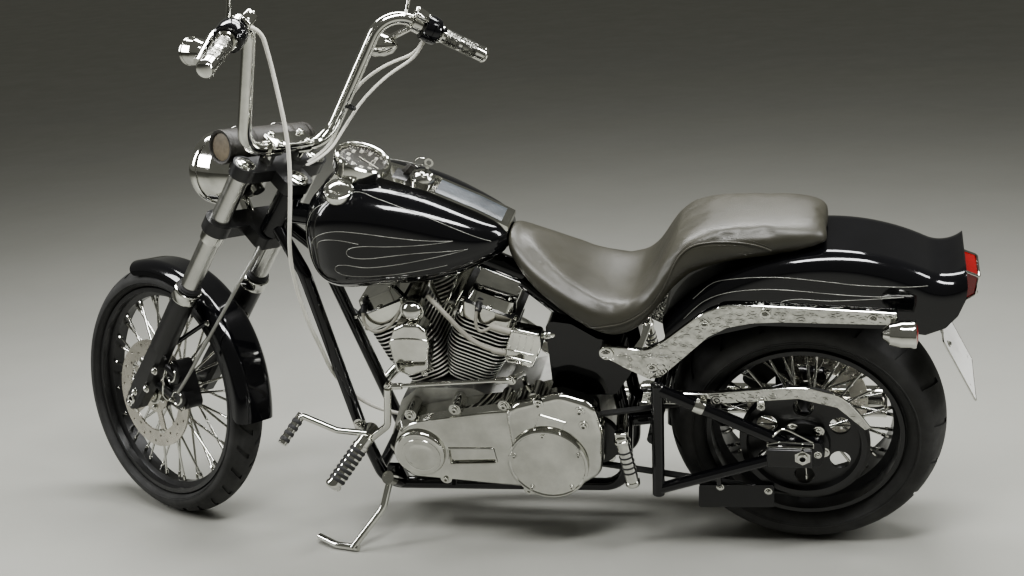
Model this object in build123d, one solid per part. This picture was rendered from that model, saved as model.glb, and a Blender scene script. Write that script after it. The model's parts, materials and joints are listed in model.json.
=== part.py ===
from build123d import *
import os
from math import sin, cos, tan, radians, degrees, pi, sqrt, asin, atan2

# A raked cruiser with high bars, parked on its side stand with the steering on its right stop.
# Millimetres. Each piece is drawn on the upright machine: X forward from the rear axle, Y to the
# rider's left, Z up from the ground. Fork pieces use the fork's own frame: X square to the steering
# axis, Y left, Z up along that axis. Wheels use a frame with the axle along Y. Only at the end is
# the whole machine leaned over and set down on both tyres and the stand's foot.

# Chassis
WHEELBASE = 1694
RAKE = 34
FORK_OFFSET = 70
LEAN = 12
STEER_REST = 32
STEER_TRAVEL = 64
GRAZE = 0.3

# Rear wheel
REAR_RADIUS = 326
REAR_TYRE_HALF = 100
REAR_CROWN_HALF = 90
REAR_CROWN_DROP = 30
REAR_RIM_RADIUS = 232
REAR_RIM_HALF = 81
REAR_HUB_HALF = 64
REAR_FLANGE_Y = 48
REAR_AXLE_RADIUS = 12.5

# Front wheel
FRONT_RADIUS = 340
FRONT_TYRE_HALF = 50
FRONT_CROWN_HALF = 43
FRONT_CROWN_DROP = 22
FRONT_RIM_RADIUS = 284
FRONT_RIM_HALF = 33
FRONT_HUB_HALF = 57
FRONT_FLANGE_Y = 30
FRONT_AXLE_RADIUS = 12.5

# Both wheels
REAR_TYRE_WALL = 12
FRONT_TYRE_WALL = 7
RIM_WALL = 5
HUB_RADIUS = 30
HUB_FLANGE_RADIUS = 44
HUB_FLANGE = 7
AXLE_FIT = 0.05
SPOKES = 40
SPOKE_RADIUS = 3.2
SPOKE_LACING = 15
SPOKE_STAGGER = 6
DISC_RADIUS = 146
DISC_INNER = 104
DISC_THICK = 5
DISC_CARRIER = 52

# Belt drive, on the left
PULLEY_RADIUS = 146
PULLEY_HALF = 11
PULLEY_Y = 117
GEARBOX_PULLEY_RADIUS = 66
GEARBOX_SHAFT = (500, 318)
BELT_THICK = 6
GUARD_Y = PULLEY_Y + PULLEY_HALF + 5.5

# Fork, in the fork frame
TUBE_SPREAD = 110
# Side outline of a lower fork leg: along the fork frame's X from the tube's line, and up
FORK_LEG = ((-27, 205), (-29, 60), (-25, -14), (-12, -26), (14, -26), (27, -10), (31, 60), (27, 205))
TUBE_RADIUS = 24.5
SLIDER_RADIUS = 31
SLIDER_TOP = 396
LOWER_TREE = 600
UPPER_TREE = 775
TREE_THICK = 34
HEAD_RADIUS = 31
STEM_FIT = 0.08
STEM_RADIUS = 16
BAR_RADIUS = 16
BAR_POINTS = ((74, 0, 850), (74, 132, 850), (154, 208, 1192), (-8, 428, 1167))
GRIP_RADIUS = 19
# Cables: the clutch cable on the upright machine with the steering at rest, the others in the fork frame
CLUTCH_CABLE_RADIUS = 5
CLUTCH_CABLE = ((1188, 160, 1412), (1148, 112, 1392), (1147, 98, 1312), (1143, 100, 1230), (1136, 112, 1130),
                (1142, 124, 1040), (1158, 135, 945), (1182, 136, 835), (1187, 126, 735), (1178, 120, 640),
                (1161, 109, 550), (1160, 84, 475), (1135, 48, 385), (1070, 40, 332), (1010, 40, 322))
THROTTLE_CABLE_RADIUS = 4
THROTTLE_CABLES = (((84, -310, 1158), (92, -316, 1098), (122, -262, 1040), (131, -215, 975), (108, -182, 908),
                    (72, -150, 852), (60, -114, 828), (52, -72, 805)),
                   ((72, -298, 1158), (79, -304, 1096), (102, -262, 1020), (98, -215, 952), (78, -176, 890),
                    (56, -138, 842), (46, -98, 821), (42, -60, 806)))
BRAKE_HOSE_RADIUS = 4.5
BRAKE_HOSE = ((-14, 78, 86), (-30, 94, 118), (-37, 95, 190), (-42, 94, 310), (-47, 91, 430), (-46, 84, 530),
              (-34, 60, 585), (-12, 34, 606))
GRIP_LENGTH = 128
LAMP_RADIUS = 90
ROLL_RADIUS = 42

# Engine
CRANK = (865, 330)
CYLINDER_TILT = 22.5
FIN_PITCH = 11
FIN_THICK = 4
FIN_COUNT = 18
BARREL_RADIUS = 50
CASE_HALF = 92
PRIMARY_Y = 166
CLUTCH_CENTRE = (605, 285)
CLUTCH_COVER_RADIUS = 98
# Bosses for the primary cover's screws: x, z
PRIMARY_BOSSES = ((945, 398), (829, 417), (704, 432), (626, 455), (513, 446), (668, 184), (880, 208))

# Exhaust, on the right
MUFFLER_Y = 210
MUFFLER_RADIUS = 40
EXHAUST_LOW = 228
EXHAUST_HIGH = 352

# Frame tubes
RAIL_RADIUS = 16
BACKBONE_RADIUS = 26
RAIL_Y = 100
REAR_RAIL_Y = 72
RAIL_Z = 150
SWINGARM_Y = 150
SWINGARM_RADIUS = 15

# Bodywork
TANK_WALL_GAP = 8
FENDER_HALF = 122
FENDER_SHEET = 4
FRONT_FENDER_GAP = 15
FRONT_FENDER_HALF = 58
FRONT_FENDER_DEEP = 41
FENDER_REAR_ANGLE = 148
FENDER_SWEEP = 109
STRUT_FOOT = (447, 572)

# Number plate: middle of its back face, leaning forward at the top
PLATE_PLANE = Plane(origin=(-343, 0, 512), x_dir=(0, 1, 0), z_dir=(-0.9, 0, 0.43))

# Side stand
STAND_PIVOT = (1030, 150, 200)
STAND_STOWED = (-0.95, 0.37, -0.14)
STAND_RADIUS = 9
STAND_FOOT = (1120, 262)


def turned(vector, axis, angle):
    """A vector turned about a coordinate axis by an angle in degrees."""
    x, y, z = vector
    s, c = sin(radians(angle)), cos(radians(angle))
    if axis == "x":
        return (x, y * c - z * s, y * s + z * c)
    if axis == "y":
        return (x * c + z * s, y, -x * s + z * c)
    return (x * c - y * s, x * s + y * c, z)


def added(a, b, k=1.0):
    return tuple(p + k * q for p, q in zip(a, b))


# Steering geometry on the upright machine
FORWARD = (cos(radians(RAKE)), 0, sin(radians(RAKE)))
UPWARD = (-sin(radians(RAKE)), 0, cos(radians(RAKE)))
STEER_FOOT = added((WHEELBASE, 0, FRONT_RADIUS - 2), FORWARD, -FORK_OFFSET)
FORK_FRAME = Plane(origin=STEER_FOOT, x_dir=FORWARD, z_dir=UPWARD).location
STEERED = FORK_FRAME * Location((0, 0, 0), (0, 0, -STEER_REST))
REAR_AXLE = Location((0, 0, REAR_RADIUS))


def fork_to_machine(point):
    """A point of the fork's frame, at the rest steering angle, on the upright machine."""
    x, y, z = turned(point, "z", -STEER_REST)
    return added(added(added(STEER_FOOT, FORWARD, x), (0, 1, 0), y), UPWARD, z)


def crown_radius(half, drop):
    return (half * half + drop * drop) / (2 * drop)


def tyre_low_point(centre, axle, radius, half, drop, pitch):
    """Height of a tyre's lowest point once the machine leans and pitches."""
    crown = crown_radius(half, drop)
    c = turned(turned(centre, "x", -LEAN), "y", pitch)
    n = turned(turned(axle, "x", -LEAN), "y", pitch)
    return c[2] - (radius - crown) * sqrt(1 - n[2] ** 2) - crown


def parked_pitch_and_lift():
    """The pitch and lift that set both leaning tyres on the floor."""
    front = fork_to_machine((FORK_OFFSET, 0, 0))
    front_axle = added(fork_to_machine((FORK_OFFSET, 1, 0)), front, -1)
    pitch = 0.0
    for _ in range(12):
        low_f = tyre_low_point(front, front_axle, FRONT_RADIUS, FRONT_CROWN_HALF, FRONT_CROWN_DROP, pitch)
        low_r = tyre_low_point((0, 0, REAR_RADIUS), (0, 1, 0), REAR_RADIUS, REAR_CROWN_HALF,
                               REAR_CROWN_DROP, pitch)
        pitch += degrees(atan2(low_f - low_r, WHEELBASE))
    return pitch, -low_r


PITCH, LIFT = parked_pitch_and_lift()
PARKED = Location((0, 0, LIFT)) * Location((0, 0, 0), (0, PITCH, 0)) * Location((0, 0, 0), (-LEAN, 0, 0))


def floor_height(x, y):
    """Height of the floor on the upright machine's axes, under the point (x, y)."""
    down = turned(turned((0, 0, 1), "y", -PITCH), "x", LEAN)
    return (-LIFT - down[0] * x - down[1] * y) / down[2]


def bent_path(points, bend=None):
    """Straight runs joined by tangent arcs. With no bend given, each arc takes 0.45 of its shorter run."""
    pts = [Vector(p) for p in points]
    edges, start = [], pts[0]
    for before, corner, after in zip(pts, pts[1:], pts[2:]):
        back, ahead = before - corner, after - corner
        half = radians(180 - back.get_angle(ahead)) / 2
        reach = 0.45 * min(back.length, ahead.length)
        if bend is not None:
            reach = min(reach, bend * tan(half))
        a = corner + back.normalized() * reach
        b = corner + ahead.normalized() * reach
        radius = reach / tan(half)
        middle = (back.normalized() + ahead.normalized()).normalized()
        centre = corner + middle * (radius / cos(half))
        edges.append(Edge.make_line(start, a))
        edges.append(Edge.make_three_point_arc(a, centre - middle * radius, b))
        start = b
    edges.append(Edge.make_line(start, pts[-1]))
    return Wire(edges)


def tube(points, radius, bend=None):
    path = bent_path(points, bend)
    section = Plane(origin=path @ 0, z_dir=path % 0) * Circle(radius)
    return sweep(section, path=path)


def rod(a, b, radius):
    """A straight round bar between two points."""
    line = Vector(b) - Vector(a)
    return extrude(Plane(origin=a, z_dir=line) * Circle(radius), line.length)


def round_y(x, z, y0, y1, radius):
    """A round bar across the machine, from y0 to y1."""
    return rod((x, y0, z), (x, y1, z), radius)


def mirrored(shape):
    return mirror(shape, Plane.XZ)


def both(shape):
    return [shape, mirrored(shape)]


def joined(shapes):
    first, rest = shapes[0], shapes[1:]
    return first.fuse(*rest) if rest else first


def ring(outline):
    """A closed outline of (radius, y) corners turned about the axle."""
    return revolve(make_face(Polyline(*outline, close=True)), Axis.Y)


def side_plate(outline, y0, y1, corner=0):
    """A plate cut to a closed side outline of (x, z) corners, from y0 to y1."""
    face = make_face(Polyline(*[(x, z) for x, z in outline], close=True))
    if corner:
        face = fillet(face.vertices(), corner)
    return extrude(Plane(origin=(0, y0, 0), x_dir=(1, 0, 0), z_dir=(0, -1, 0)) * face, y0 - y1)


# Wheels

def crown_corners(radius, half, drop, turns):
    """Corners of a crown in straight facets, each touching its arc at one of the angles from the middle."""
    crown, corners = crown_radius(half, drop), []
    for a, b in zip(turns, turns[1:]):
        middle, out = radians((a + b) / 2), crown / cos(radians((b - a) / 2))
        corners.append((radius - crown + out * cos(middle), out * sin(middle)))
    return corners


def parked_roll():
    """How far the steered front wheel leans once the machine is parked."""
    axle = added(fork_to_machine((0, 1, 0)), fork_to_machine((0, 0, 0)), -1)
    return degrees(asin(abs(turned(turned(axle, "x", -LEAN), "y", PITCH)[2])))


def tyre(radius, half, crown_half, drop, turns, rim_radius, rim_half, tyre_wall):
    """A tyre in straight facets, one flat on the floor where it parks, with an even wall and open beads."""
    bead, seat = rim_radius + 3, rim_radius - 8 + GRAZE
    foot = rim_half - 5 - GRAZE
    belly = (bead + radius - drop) / 2
    outer = [(seat, foot), (bead, foot), (belly - 12, half), (belly + 10, half), (radius - drop, crown_half)]
    outer += crown_corners(radius, crown_half, drop, turns)[::-1]
    inner = [(seat, foot - tyre_wall), (bead + tyre_wall, foot - tyre_wall), (belly, half - tyre_wall),
             (radius - drop - tyre_wall, crown_half - tyre_wall), (radius - tyre_wall, crown_half * 0.3)]
    outline = outer + [(r, -y) for r, y in reversed(outer)] + [(r, -y) for r, y in inner]
    return ring(outline + [(r, y) for r, y in reversed(inner)])


def rim_outline(radius, half):
    """Outer line of half a rim, from the lip to the middle of the well."""
    return [(radius, half), (radius, half - 5), (radius - 8, half - 5), (radius - 8, half * 0.55),
            (radius - 22, half * 0.4)]


def rim(radius, half):
    outer = rim_outline(radius, half)
    inner = [(radius - 2, half + 3), (radius - 8 - RIM_WALL, half + 3), (radius - 8 - RIM_WALL, half * 0.55 - 2),
             (radius - 22 - RIM_WALL, half * 0.4 - 2)]
    outline = [(r, y) for r, y in outer] + [(r, -y) for r, y in reversed(outer)]
    outline += [(r, -y) for r, y in inner] + [(r, y) for r, y in reversed(inner)]
    return ring(outline)


def hub(half, flange_y, axle_radius):
    outline = [(axle_radius + AXLE_FIT, half), (HUB_RADIUS - 8, half), (HUB_RADIUS, half - 8),
               (HUB_RADIUS, flange_y + HUB_FLANGE), (HUB_FLANGE_RADIUS, flange_y + HUB_FLANGE),
               (HUB_FLANGE_RADIUS, flange_y - HUB_FLANGE), (HUB_RADIUS - 2, flange_y - HUB_FLANGE - 4)]
    return ring(outline + [(r, -y) for r, y in reversed(outline)])


def spokes(rim_radius, flange_y, carriers):
    """Laced spokes: odd ones lean forward and even ones back, cut to seat on the hub and the rim."""
    bars = []
    hub_r, rim_r = HUB_FLANGE_RADIUS - 3, rim_radius - 22 - RIM_WALL + 2
    for i in range(SPOKES):
        side = 1 if i % 2 else -1
        lean = SPOKE_LACING if (i // 2) % 2 else -SPOKE_LACING
        stagger = SPOKE_STAGGER if (i // 2) % 2 else -SPOKE_STAGGER
        out = radians(i * 360 / SPOKES)
        inner = out + radians(lean)
        a = (hub_r * cos(inner), side * flange_y + stagger * 0.5, hub_r * sin(inner))
        b = (rim_r * cos(out), side * 6, rim_r * sin(out))
        bars.append(rod(a, b, SPOKE_RADIUS))
    cut = []
    for bar in bars:
        for carrier in carriers:
            bar = bar - carrier
        cut.append(bar.solids().sort_by(SortBy.VOLUME)[-1])
    return cut


def drilled_disc(y, side):
    """A brake disc with two rows of holes, on a slotted carrier that bolts to the hub's end."""
    band = ring([(DISC_INNER, y - DISC_THICK / 2), (DISC_RADIUS, y - DISC_THICK / 2),
                 (DISC_RADIUS, y + DISC_THICK / 2), (DISC_INNER, y + DISC_THICK / 2)])
    holes = []
    for row, (radius, phase) in enumerate(((117, 0), (133, 11))):
        for k in range(16):
            a = radians(k * 22.5 + phase)
            holes.append(rod((radius * cos(a), y - 9, radius * sin(a)), (radius * cos(a), y + 9, radius * sin(a)), 3.5))
    carrier = ring([(HUB_RADIUS - 10, y - DISC_THICK / 2), (DISC_CARRIER, y - DISC_THICK / 2),
                    (DISC_CARRIER, y + DISC_THICK / 2), (HUB_RADIUS - 10, y + DISC_THICK / 2)])
    arms = []
    for k in range(5):
        arm = extrude(Plane(origin=(0, y - DISC_THICK / 2 + 0.5, 0), x_dir=(1, 0, 0), z_dir=(0, 1, 0))
                      * Pos(DISC_CARRIER + 28, 0) * Rectangle(66, 20), DISC_THICK - 1)
        arms.append(Rot(0, 72 * k, 0) * arm)
    return joined([band, carrier] + arms).cut(*holes)


def rear_wheel():
    """Nodes of the rear wheel, about its axle."""
    flange_y = REAR_FLANGE_Y
    rear_rim = rim(REAR_RIM_RADIUS, REAR_RIM_HALF)
    rear_hub = hub(REAR_HUB_HALF, flange_y, REAR_AXLE_RADIUS)
    boss = ring([(REAR_AXLE_RADIUS + AXLE_FIT, REAR_HUB_HALF), (40, REAR_HUB_HALF), (40, PULLEY_Y - PULLEY_HALF),
                 (REAR_AXLE_RADIUS + AXLE_FIT, PULLEY_Y - PULLEY_HALF)])
    pulley = ring([(30, PULLEY_Y - PULLEY_HALF), (PULLEY_RADIUS + 4, PULLEY_Y - PULLEY_HALF),
                   (PULLEY_RADIUS + 4, PULLEY_Y - PULLEY_HALF + 2), (PULLEY_RADIUS, PULLEY_Y - PULLEY_HALF + 2),
                   (PULLEY_RADIUS, PULLEY_Y + PULLEY_HALF), (PULLEY_RADIUS - 14, PULLEY_Y + PULLEY_HALF),
                   (PULLEY_RADIUS - 18, PULLEY_Y - 3), (62, PULLEY_Y - 3), (58, PULLEY_Y + 5), (30, PULLEY_Y + 5)])
    windows = [Rot(0, 60 * k, 0) * Pos(0, 0, 96) * rod((0, PULLEY_Y - 20, 0), (0, PULLEY_Y + 20, 0), 24)
               for k in range(6)]
    disc_y = -(REAR_HUB_HALF + DISC_THICK / 2)
    return {
        "rear_tyre": [tyre(REAR_RADIUS, REAR_TYRE_HALF, REAR_CROWN_HALF, REAR_CROWN_DROP, (0, LEAN, 30),
                           REAR_RIM_RADIUS, REAR_RIM_HALF, REAR_TYRE_WALL)],
        "rear_rim_hub": [rear_rim, rear_hub.fuse(boss)],
        "rear_spokes": spokes(REAR_RIM_RADIUS, flange_y, [rear_rim, rear_hub]),
        "rear_pulley": [pulley.cut(*windows)],
        "rear_disc": [drilled_disc(disc_y, -1)],
    }


def front_wheel():
    flange_y = FRONT_FLANGE_Y
    front_rim = rim(FRONT_RIM_RADIUS, FRONT_RIM_HALF)
    front_hub = hub(FRONT_HUB_HALF, flange_y, FRONT_AXLE_RADIUS)
    return {
        "front_tyre": [tyre(FRONT_RADIUS, FRONT_TYRE_HALF, FRONT_CROWN_HALF, FRONT_CROWN_DROP,
                            (0, parked_roll(), 26, 50), FRONT_RIM_RADIUS, FRONT_RIM_HALF, FRONT_TYRE_WALL)],
        "front_rim_hub": [front_rim, front_hub],
        "front_spokes": spokes(FRONT_RIM_RADIUS, flange_y, [front_rim, front_hub]),
        "front_disc": [drilled_disc(FRONT_HUB_HALF + DISC_THICK / 2, 1)],
    }


# Fork, in the fork frame

def fork():
    nodes = {}
    top = UPPER_TREE + TREE_THICK
    tubes, sliders, trees = [], [], []
    for side in (1, -1):
        y = side * TUBE_SPREAD
        tubes.append(rod((FORK_OFFSET, y, SLIDER_TOP - 60), (FORK_OFFSET, y, top), TUBE_RADIUS))
        body = rod((FORK_OFFSET, y, 195), (FORK_OFFSET, y, SLIDER_TOP - 26), SLIDER_RADIUS)
        cap = rod((FORK_OFFSET, y, SLIDER_TOP - 26), (FORK_OFFSET, y, SLIDER_TOP), SLIDER_RADIUS + 2)
        leg = extrude(Plane(origin=(FORK_OFFSET, y - 24, 0), x_dir=(1, 0, 0), z_dir=(0, -1, 0))
                      * make_face(Polyline(*FORK_LEG, close=True)), -48)
        leg = chamfer(leg.edges().filter_by(Axis.Y, reverse=True).filter_by(lambda e: e.length > 60), 9)
        bore = rod((FORK_OFFSET, y, 190), (FORK_OFFSET, y, SLIDER_TOP + 10), TUBE_RADIUS + AXLE_FIT)
        axle_hole = round_y(FORK_OFFSET, 0, y - 40, y + 40, FRONT_AXLE_RADIUS + AXLE_FIT)
        sliders.append(joined([body, cap, leg]).cut(bore, axle_hole))
    nodes["fork_tubes"] = tubes
    nodes["fork_sliders"] = sliders
    stem = rod((0, 0, LOWER_TREE + 2), (0, 0, top - 4), STEM_RADIUS)
    for z, nose in ((LOWER_TREE, 36), (UPPER_TREE, 30)):
        bar = extrude(Plane(origin=(FORK_OFFSET / 2, 0, z)) * RectangleRounded(FORK_OFFSET + 44, 84, 20), TREE_THICK)
        arms = extrude(Plane(origin=(FORK_OFFSET - 6, 0, z)) * RectangleRounded(56, 2 * TUBE_SPREAD + 20, 20),
                       TREE_THICK)
        clamps = [rod((FORK_OFFSET, s * TUBE_SPREAD, z), (FORK_OFFSET, s * TUBE_SPREAD, z + TREE_THICK), nose)
                  for s in (1, -1)]
        holes = [rod((FORK_OFFSET, s * TUBE_SPREAD, z - 5), (FORK_OFFSET, s * TUBE_SPREAD, z + TREE_THICK + 5),
                     TUBE_RADIUS) for s in (1, -1)]
        trees.append(joined([bar, arms] + clamps).cut(*holes))
    nodes["triple_trees"] = [joined([trees[0], stem, trees[1]])]

    clamp_a, clamp_w = BAR_POINTS[0][0], BAR_POINTS[0][2]
    path_half = tube(BAR_POINTS, BAR_RADIUS, 70)
    risers = [rod((clamp_a, s * 45, top), (clamp_a, s * 45, clamp_w), 17) for s in (1, -1)]
    blocks = [rod((clamp_a, s * 45 - 19, clamp_w), (clamp_a, s * 45 + 19, clamp_w), 22) for s in (1, -1)]
    nodes["handlebar"] = [joined(both(path_half) + risers + blocks)]

    inner, end = Vector(BAR_POINTS[2]), Vector(BAR_POINTS[3])
    along = (end - inner).normalized()
    grip_start = end - along * (GRIP_LENGTH - 6)
    grip = rod(grip_start, end + along * 6, GRIP_RADIUS) - rod(grip_start - along, end + along * 0.01, BAR_RADIUS)
    nodes["grips"] = both(grip)
    housing = rod(grip_start - along * 48, grip_start - along * 6, 30) \
        - rod(grip_start - along * 60, grip_start, BAR_RADIUS)
    nodes["switch_housings"] = both(housing)
    ahead = Vector(0.86, 0, -0.5)
    lever_root = grip_start - along * 70 + ahead * 34
    out = (ahead - along * ahead.dot(along)).normalized()
    perch = rod(grip_start - along * 77, grip_start - along * 54, 25).fuse(
        rod(grip_start - along * 68 + out * 20, lever_root, 9)) - rod(grip_start - along * 99, grip_start, BAR_RADIUS)
    blade = tube([lever_root, lever_root + along * 60 + ahead * 22, lever_root + along * 175 + ahead * 4], 8, 60)
    nodes["levers"] = both(perch.fuse(blade))
    stem_top = lever_root + Vector(20, 10, 150)
    mirror_head = extrude(Plane(origin=stem_top + Vector(-6, 0, 30), z_dir=(0.83, 0, -0.56), x_dir=(0, 1, 0))
                          * Ellipse(62, 40), 16)
    stem = tube([lever_root, lever_root + Vector(26, 4, 60), stem_top, stem_top + Vector(0, 0, 24)], 5, 30)
    nodes["mirrors"] = both(joined([stem, mirror_head]))
    signal = Vector(186, 287, 1057)
    bullet = lathe_x(signal, 31, 62)
    stalk = rod(signal, inner + along * 92, 8)
    nodes["front_signals"] = both(joined([bullet, stalk]))

    nodes["headlamp"] = [headlamp()]
    roll_a, roll_w = FORK_OFFSET + 30 + ROLL_RADIUS + GRAZE, top - 6
    nodes["tool_roll"] = [rod((roll_a, -135, roll_w), (roll_a, 135, roll_w), ROLL_RADIUS)]
    nodes["front_fender"] = [front_fender()]
    nodes["front_axle"] = [front_axle()]
    nodes["front_caliper"] = [front_caliper()]
    nodes["brake_hose"] = [tube(BRAKE_HOSE, BRAKE_HOSE_RADIUS)]
    nodes["throttle_cables"] = [tube(route, THROTTLE_CABLE_RADIUS) for route in THROTTLE_CABLES]
    return nodes


HORIZON = Vector(cos(radians(RAKE)), 0, -sin(radians(RAKE)))


def lathe_x(centre, radius, length):
    """A bullet shell pointing level and forward: a domed back and a flat lens ring."""
    outline = Polyline((0, -length), (radius * 0.35, -length * 0.93), (radius * 0.72, -length * 0.7),
                       (radius * 0.95, -length * 0.35), (radius, 0), (radius, length * 0.12), (0, length * 0.2),
                       close=True)
    shell = revolve(make_face(outline), Axis.Y)
    return Plane(origin=centre, x_dir=(0, 1, 0), z_dir=HORIZON).location * Rot(90, 0, 0) * shell


def headlamp():
    centre = Vector(226, 0, 653)
    shell = lathe_x(centre, LAMP_RADIUS, 138)
    bracket = rod(centre - HORIZON * 40 + Vector(0, 0, 40), (FORK_OFFSET + 20, 0, LOWER_TREE + 90), 16)
    strut = rod(centre - HORIZON * 30, (FORK_OFFSET + 10, 0, LOWER_TREE + TREE_THICK / 2), 14)
    return joined([shell, bracket, strut])


def front_fender():
    """A short blade over the wheel, from ahead of the crown to behind the axle, its skirts' ends rounded."""
    outer = FRONT_RADIUS + FRONT_FENDER_GAP + FENDER_SHEET
    skirt = outer - FRONT_FENDER_DEEP
    blade = make_face(RectangleRounded(108, 2 * FRONT_FENDER_HALF, 30).wire()) \
        - Pos(-FENDER_SHEET, 0) * RectangleRounded(108, 2 * (FRONT_FENDER_HALF - FENDER_SHEET), 28)
    blade = blade & Pos(134 - FRONT_FENDER_DEEP, 0) * Rectangle(160, 200)
    shell = revolve(Plane.XY * Pos(outer - 54, 0) * blade, Axis.Y, FENDER_SWEEP)

    def spot(radius, share):
        a = radians(FENDER_SWEEP * share)
        return (radius * cos(a), -radius * sin(a))
    near, far = skirt - 0.5, outer + 20
    band = make_face([Line(spot(near, 0), spot(far, 0)), ThreePointArc(spot(far, 0), spot(far, 0.5), spot(far, 1)),
                      Line(spot(far, 1), spot(near, 1)),
                      ThreePointArc(spot(near, 1), spot(near, 0.5), spot(near, 0))])
    band = fillet(band.vertices().sort_by(lambda v: v.X ** 2 + v.Y ** 2)[:2], 26)
    shell = shell & extrude(Plane(origin=(0, 80, 0), x_dir=(1, 0, 0), z_dir=(0, -1, 0)) * band, 160)
    braces = [rod((FORK_OFFSET - 4, side * 84, 190), (FORK_OFFSET - 57, side * (FRONT_FENDER_HALF - 1), 326), 6)
              for side in (1, -1)]
    return joined([Location((FORK_OFFSET, 0, 0)) * Rot(0, -FENDER_REAR_ANGLE, 0) * shell] + braces)


def front_axle():
    shaft = round_y(FORK_OFFSET, 0, -TUBE_SPREAD - 26, TUBE_SPREAD + 26, FRONT_AXLE_RADIUS)
    spacers = [round_y(FORK_OFFSET, 0, side * (FRONT_HUB_HALF + DISC_THICK + 1), side * (TUBE_SPREAD - 24), 18)
               for side in (1, -1)]
    hole = round_y(FORK_OFFSET, 0, TUBE_SPREAD - 14, TUBE_SPREAD + 40, 7)
    return joined([shaft] + spacers).cut(hole)


def front_caliper():
    """A caliper straddling the disc behind the left leg: body, two piston lobes and two lugs to the leg."""
    disc_y = FRONT_HUB_HALF + DISC_THICK / 2
    along, middle = Vector(0.83, 0, 0.56), Vector(-8, disc_y, 116)
    body = extrude(Plane(origin=middle, x_dir=along, z_dir=(0, 1, 0)) * RectangleRounded(132, 54, 18), 23, both=True)
    lobes = [rod(middle + along * k, middle + along * k + Vector(0, 34, 0), 28) for k in (-31, 31)]
    lobes = [chamfer(lobe.edges().group_by(Axis.Y)[-1], 5) for lobe in lobes]
    slot = ring([(0, disc_y - DISC_THICK / 2 - 4), (DISC_RADIUS + 5, disc_y - DISC_THICK / 2 - 4),
                 (DISC_RADIUS + 5, disc_y + DISC_THICK / 2 + 4), (0, disc_y + DISC_THICK / 2 + 4)])
    body = joined([body] + lobes) - Location((FORK_OFFSET, 0, 0)) * slot
    lugs = [rod((-4, 82, 141), (48, 97, 141), 10), rod((-34, 82, 84), (48, 97, 74), 10)]
    return joined([body] + lugs)


# Chassis

def frame():
    head = rod(*[tuple(fork_axis(w)) for w in (LOWER_TREE + TREE_THICK + 6, UPPER_TREE - 6)], HEAD_RADIUS)
    stem_hole = rod(*[tuple(fork_axis(w)) for w in (LOWER_TREE, UPPER_TREE)], STEM_RADIUS + STEM_FIT)
    side = tube([(1252, 18, 846), (1190, 58, 745), (1100, RAIL_Y, 300), (1062, RAIL_Y, RAIL_Z),
                 (440, REAR_RAIL_Y, RAIL_Z), (425, REAR_RAIL_Y, 330), (445, REAR_RAIL_Y, 500), (500, 62, 590),
                 (655, 20, 702)], RAIL_RADIUS, 60)
    backbone = tube([(1215, 0, 880), (900, 0, 828), (650, 0, 712)], BACKBONE_RADIUS, 80)
    crosses = [rod((x, -y, z), (x, y, z), 14) for x, y, z in ((1072, RAIL_Y, 190), (600, REAR_RAIL_Y + 6, RAIL_Z),
                                                              (425, REAR_RAIL_Y, 330), (449, REAR_RAIL_Y, 520))]
    px, py, pz = STAND_PIVOT
    stand_plate = side_plate([(px + 36, RAIL_Z), (px - 34, RAIL_Z), (px - 20, pz + 6), (px + 20, pz + 6)],
                             RAIL_Y - 8, RAIL_Y + 6, 6)
    axis = stand_axis()
    stand_lug = rod(added(STAND_PIVOT, axis, -58), added(STAND_PIVOT, axis, -13 - GRAZE), 15)
    engine_mounts = [rod((880, s * RAIL_Y, RAIL_Z), (880, s * 60, 232), 12) for s in (1, -1)]
    tank_lugs = [round_y(x, z, -44, 44, 10) for x, z in ((1080, 858), (760, 763))]
    strut_lugs = [round_y(*STRUT_FOOT, s * 50, s * (FENDER_HALF - 8), 15) for s in (1, -1)]
    links = [rod((462, s * 68, 530), (STRUT_FOOT[0], s * 62, STRUT_FOOT[1]), 13) for s in (1, -1)]
    return [joined([head] + both(side) + [backbone] + crosses + [stand_plate, stand_lug] + engine_mounts
                   + tank_lugs + strut_lugs + links).cut(stem_hole)]


def fork_axis(w):
    return added(STEER_FOOT, UPWARD, w)


def stand_axis():
    """The stand's hinge line: square to the leg both down and stowed."""
    foot = (STAND_FOOT[0], STAND_FOOT[1], floor_height(*STAND_FOOT) + STAND_RADIUS)
    down = Vector(added(foot, STAND_PIVOT, -1)).normalized()
    return tuple(down.cross(Vector(STAND_STOWED)).normalized())


def stand_swing():
    """The angle in degrees from standing to stowed."""
    foot = (STAND_FOOT[0], STAND_FOOT[1], floor_height(*STAND_FOOT) + STAND_RADIUS)
    return Vector(added(foot, STAND_PIVOT, -1)).get_angle(Vector(STAND_STOWED))


def swingarm():
    """A hardtail-looking triangle each side, joined by the pivot tube and a bridge."""
    y = SWINGARM_Y
    top, low, axle = (330, y, 488), (345, y, 200), (0, y, REAR_RADIUS)
    upright = rod((329, y, 500), (346, y, 186), SWINGARM_RADIUS)
    side = joined([upright, rod(top, axle, SWINGARM_RADIUS), rod(low, axle, SWINGARM_RADIUS - 1),
                   side_plate([(60, 290), (-40, 294), (-50, 326), (-40, 358), (60, 362)], y - 12, y + 14, 8)])
    bridges = [rod((x, -y, z), (x, y, z), 14) for x, z in ((350, 345), (334, 462))]
    pivot = [rod((350, s * 50, 345), (425, s * 50, 332), 18) for s in (1, -1)]
    guard = side_plate([(249, 206), (70, 214), (71, 148), (253, 139)], GUARD_Y, GUARD_Y + 4, 6)
    stay = rod((200, GUARD_Y + 2, 206), (200, y, 262), 7)
    hole = round_y(0, REAR_RADIUS, -y - 40, y + 40, REAR_AXLE_RADIUS)
    return [joined(both(side) + bridges + pivot + [guard, stay]).cut(hole)]


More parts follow.
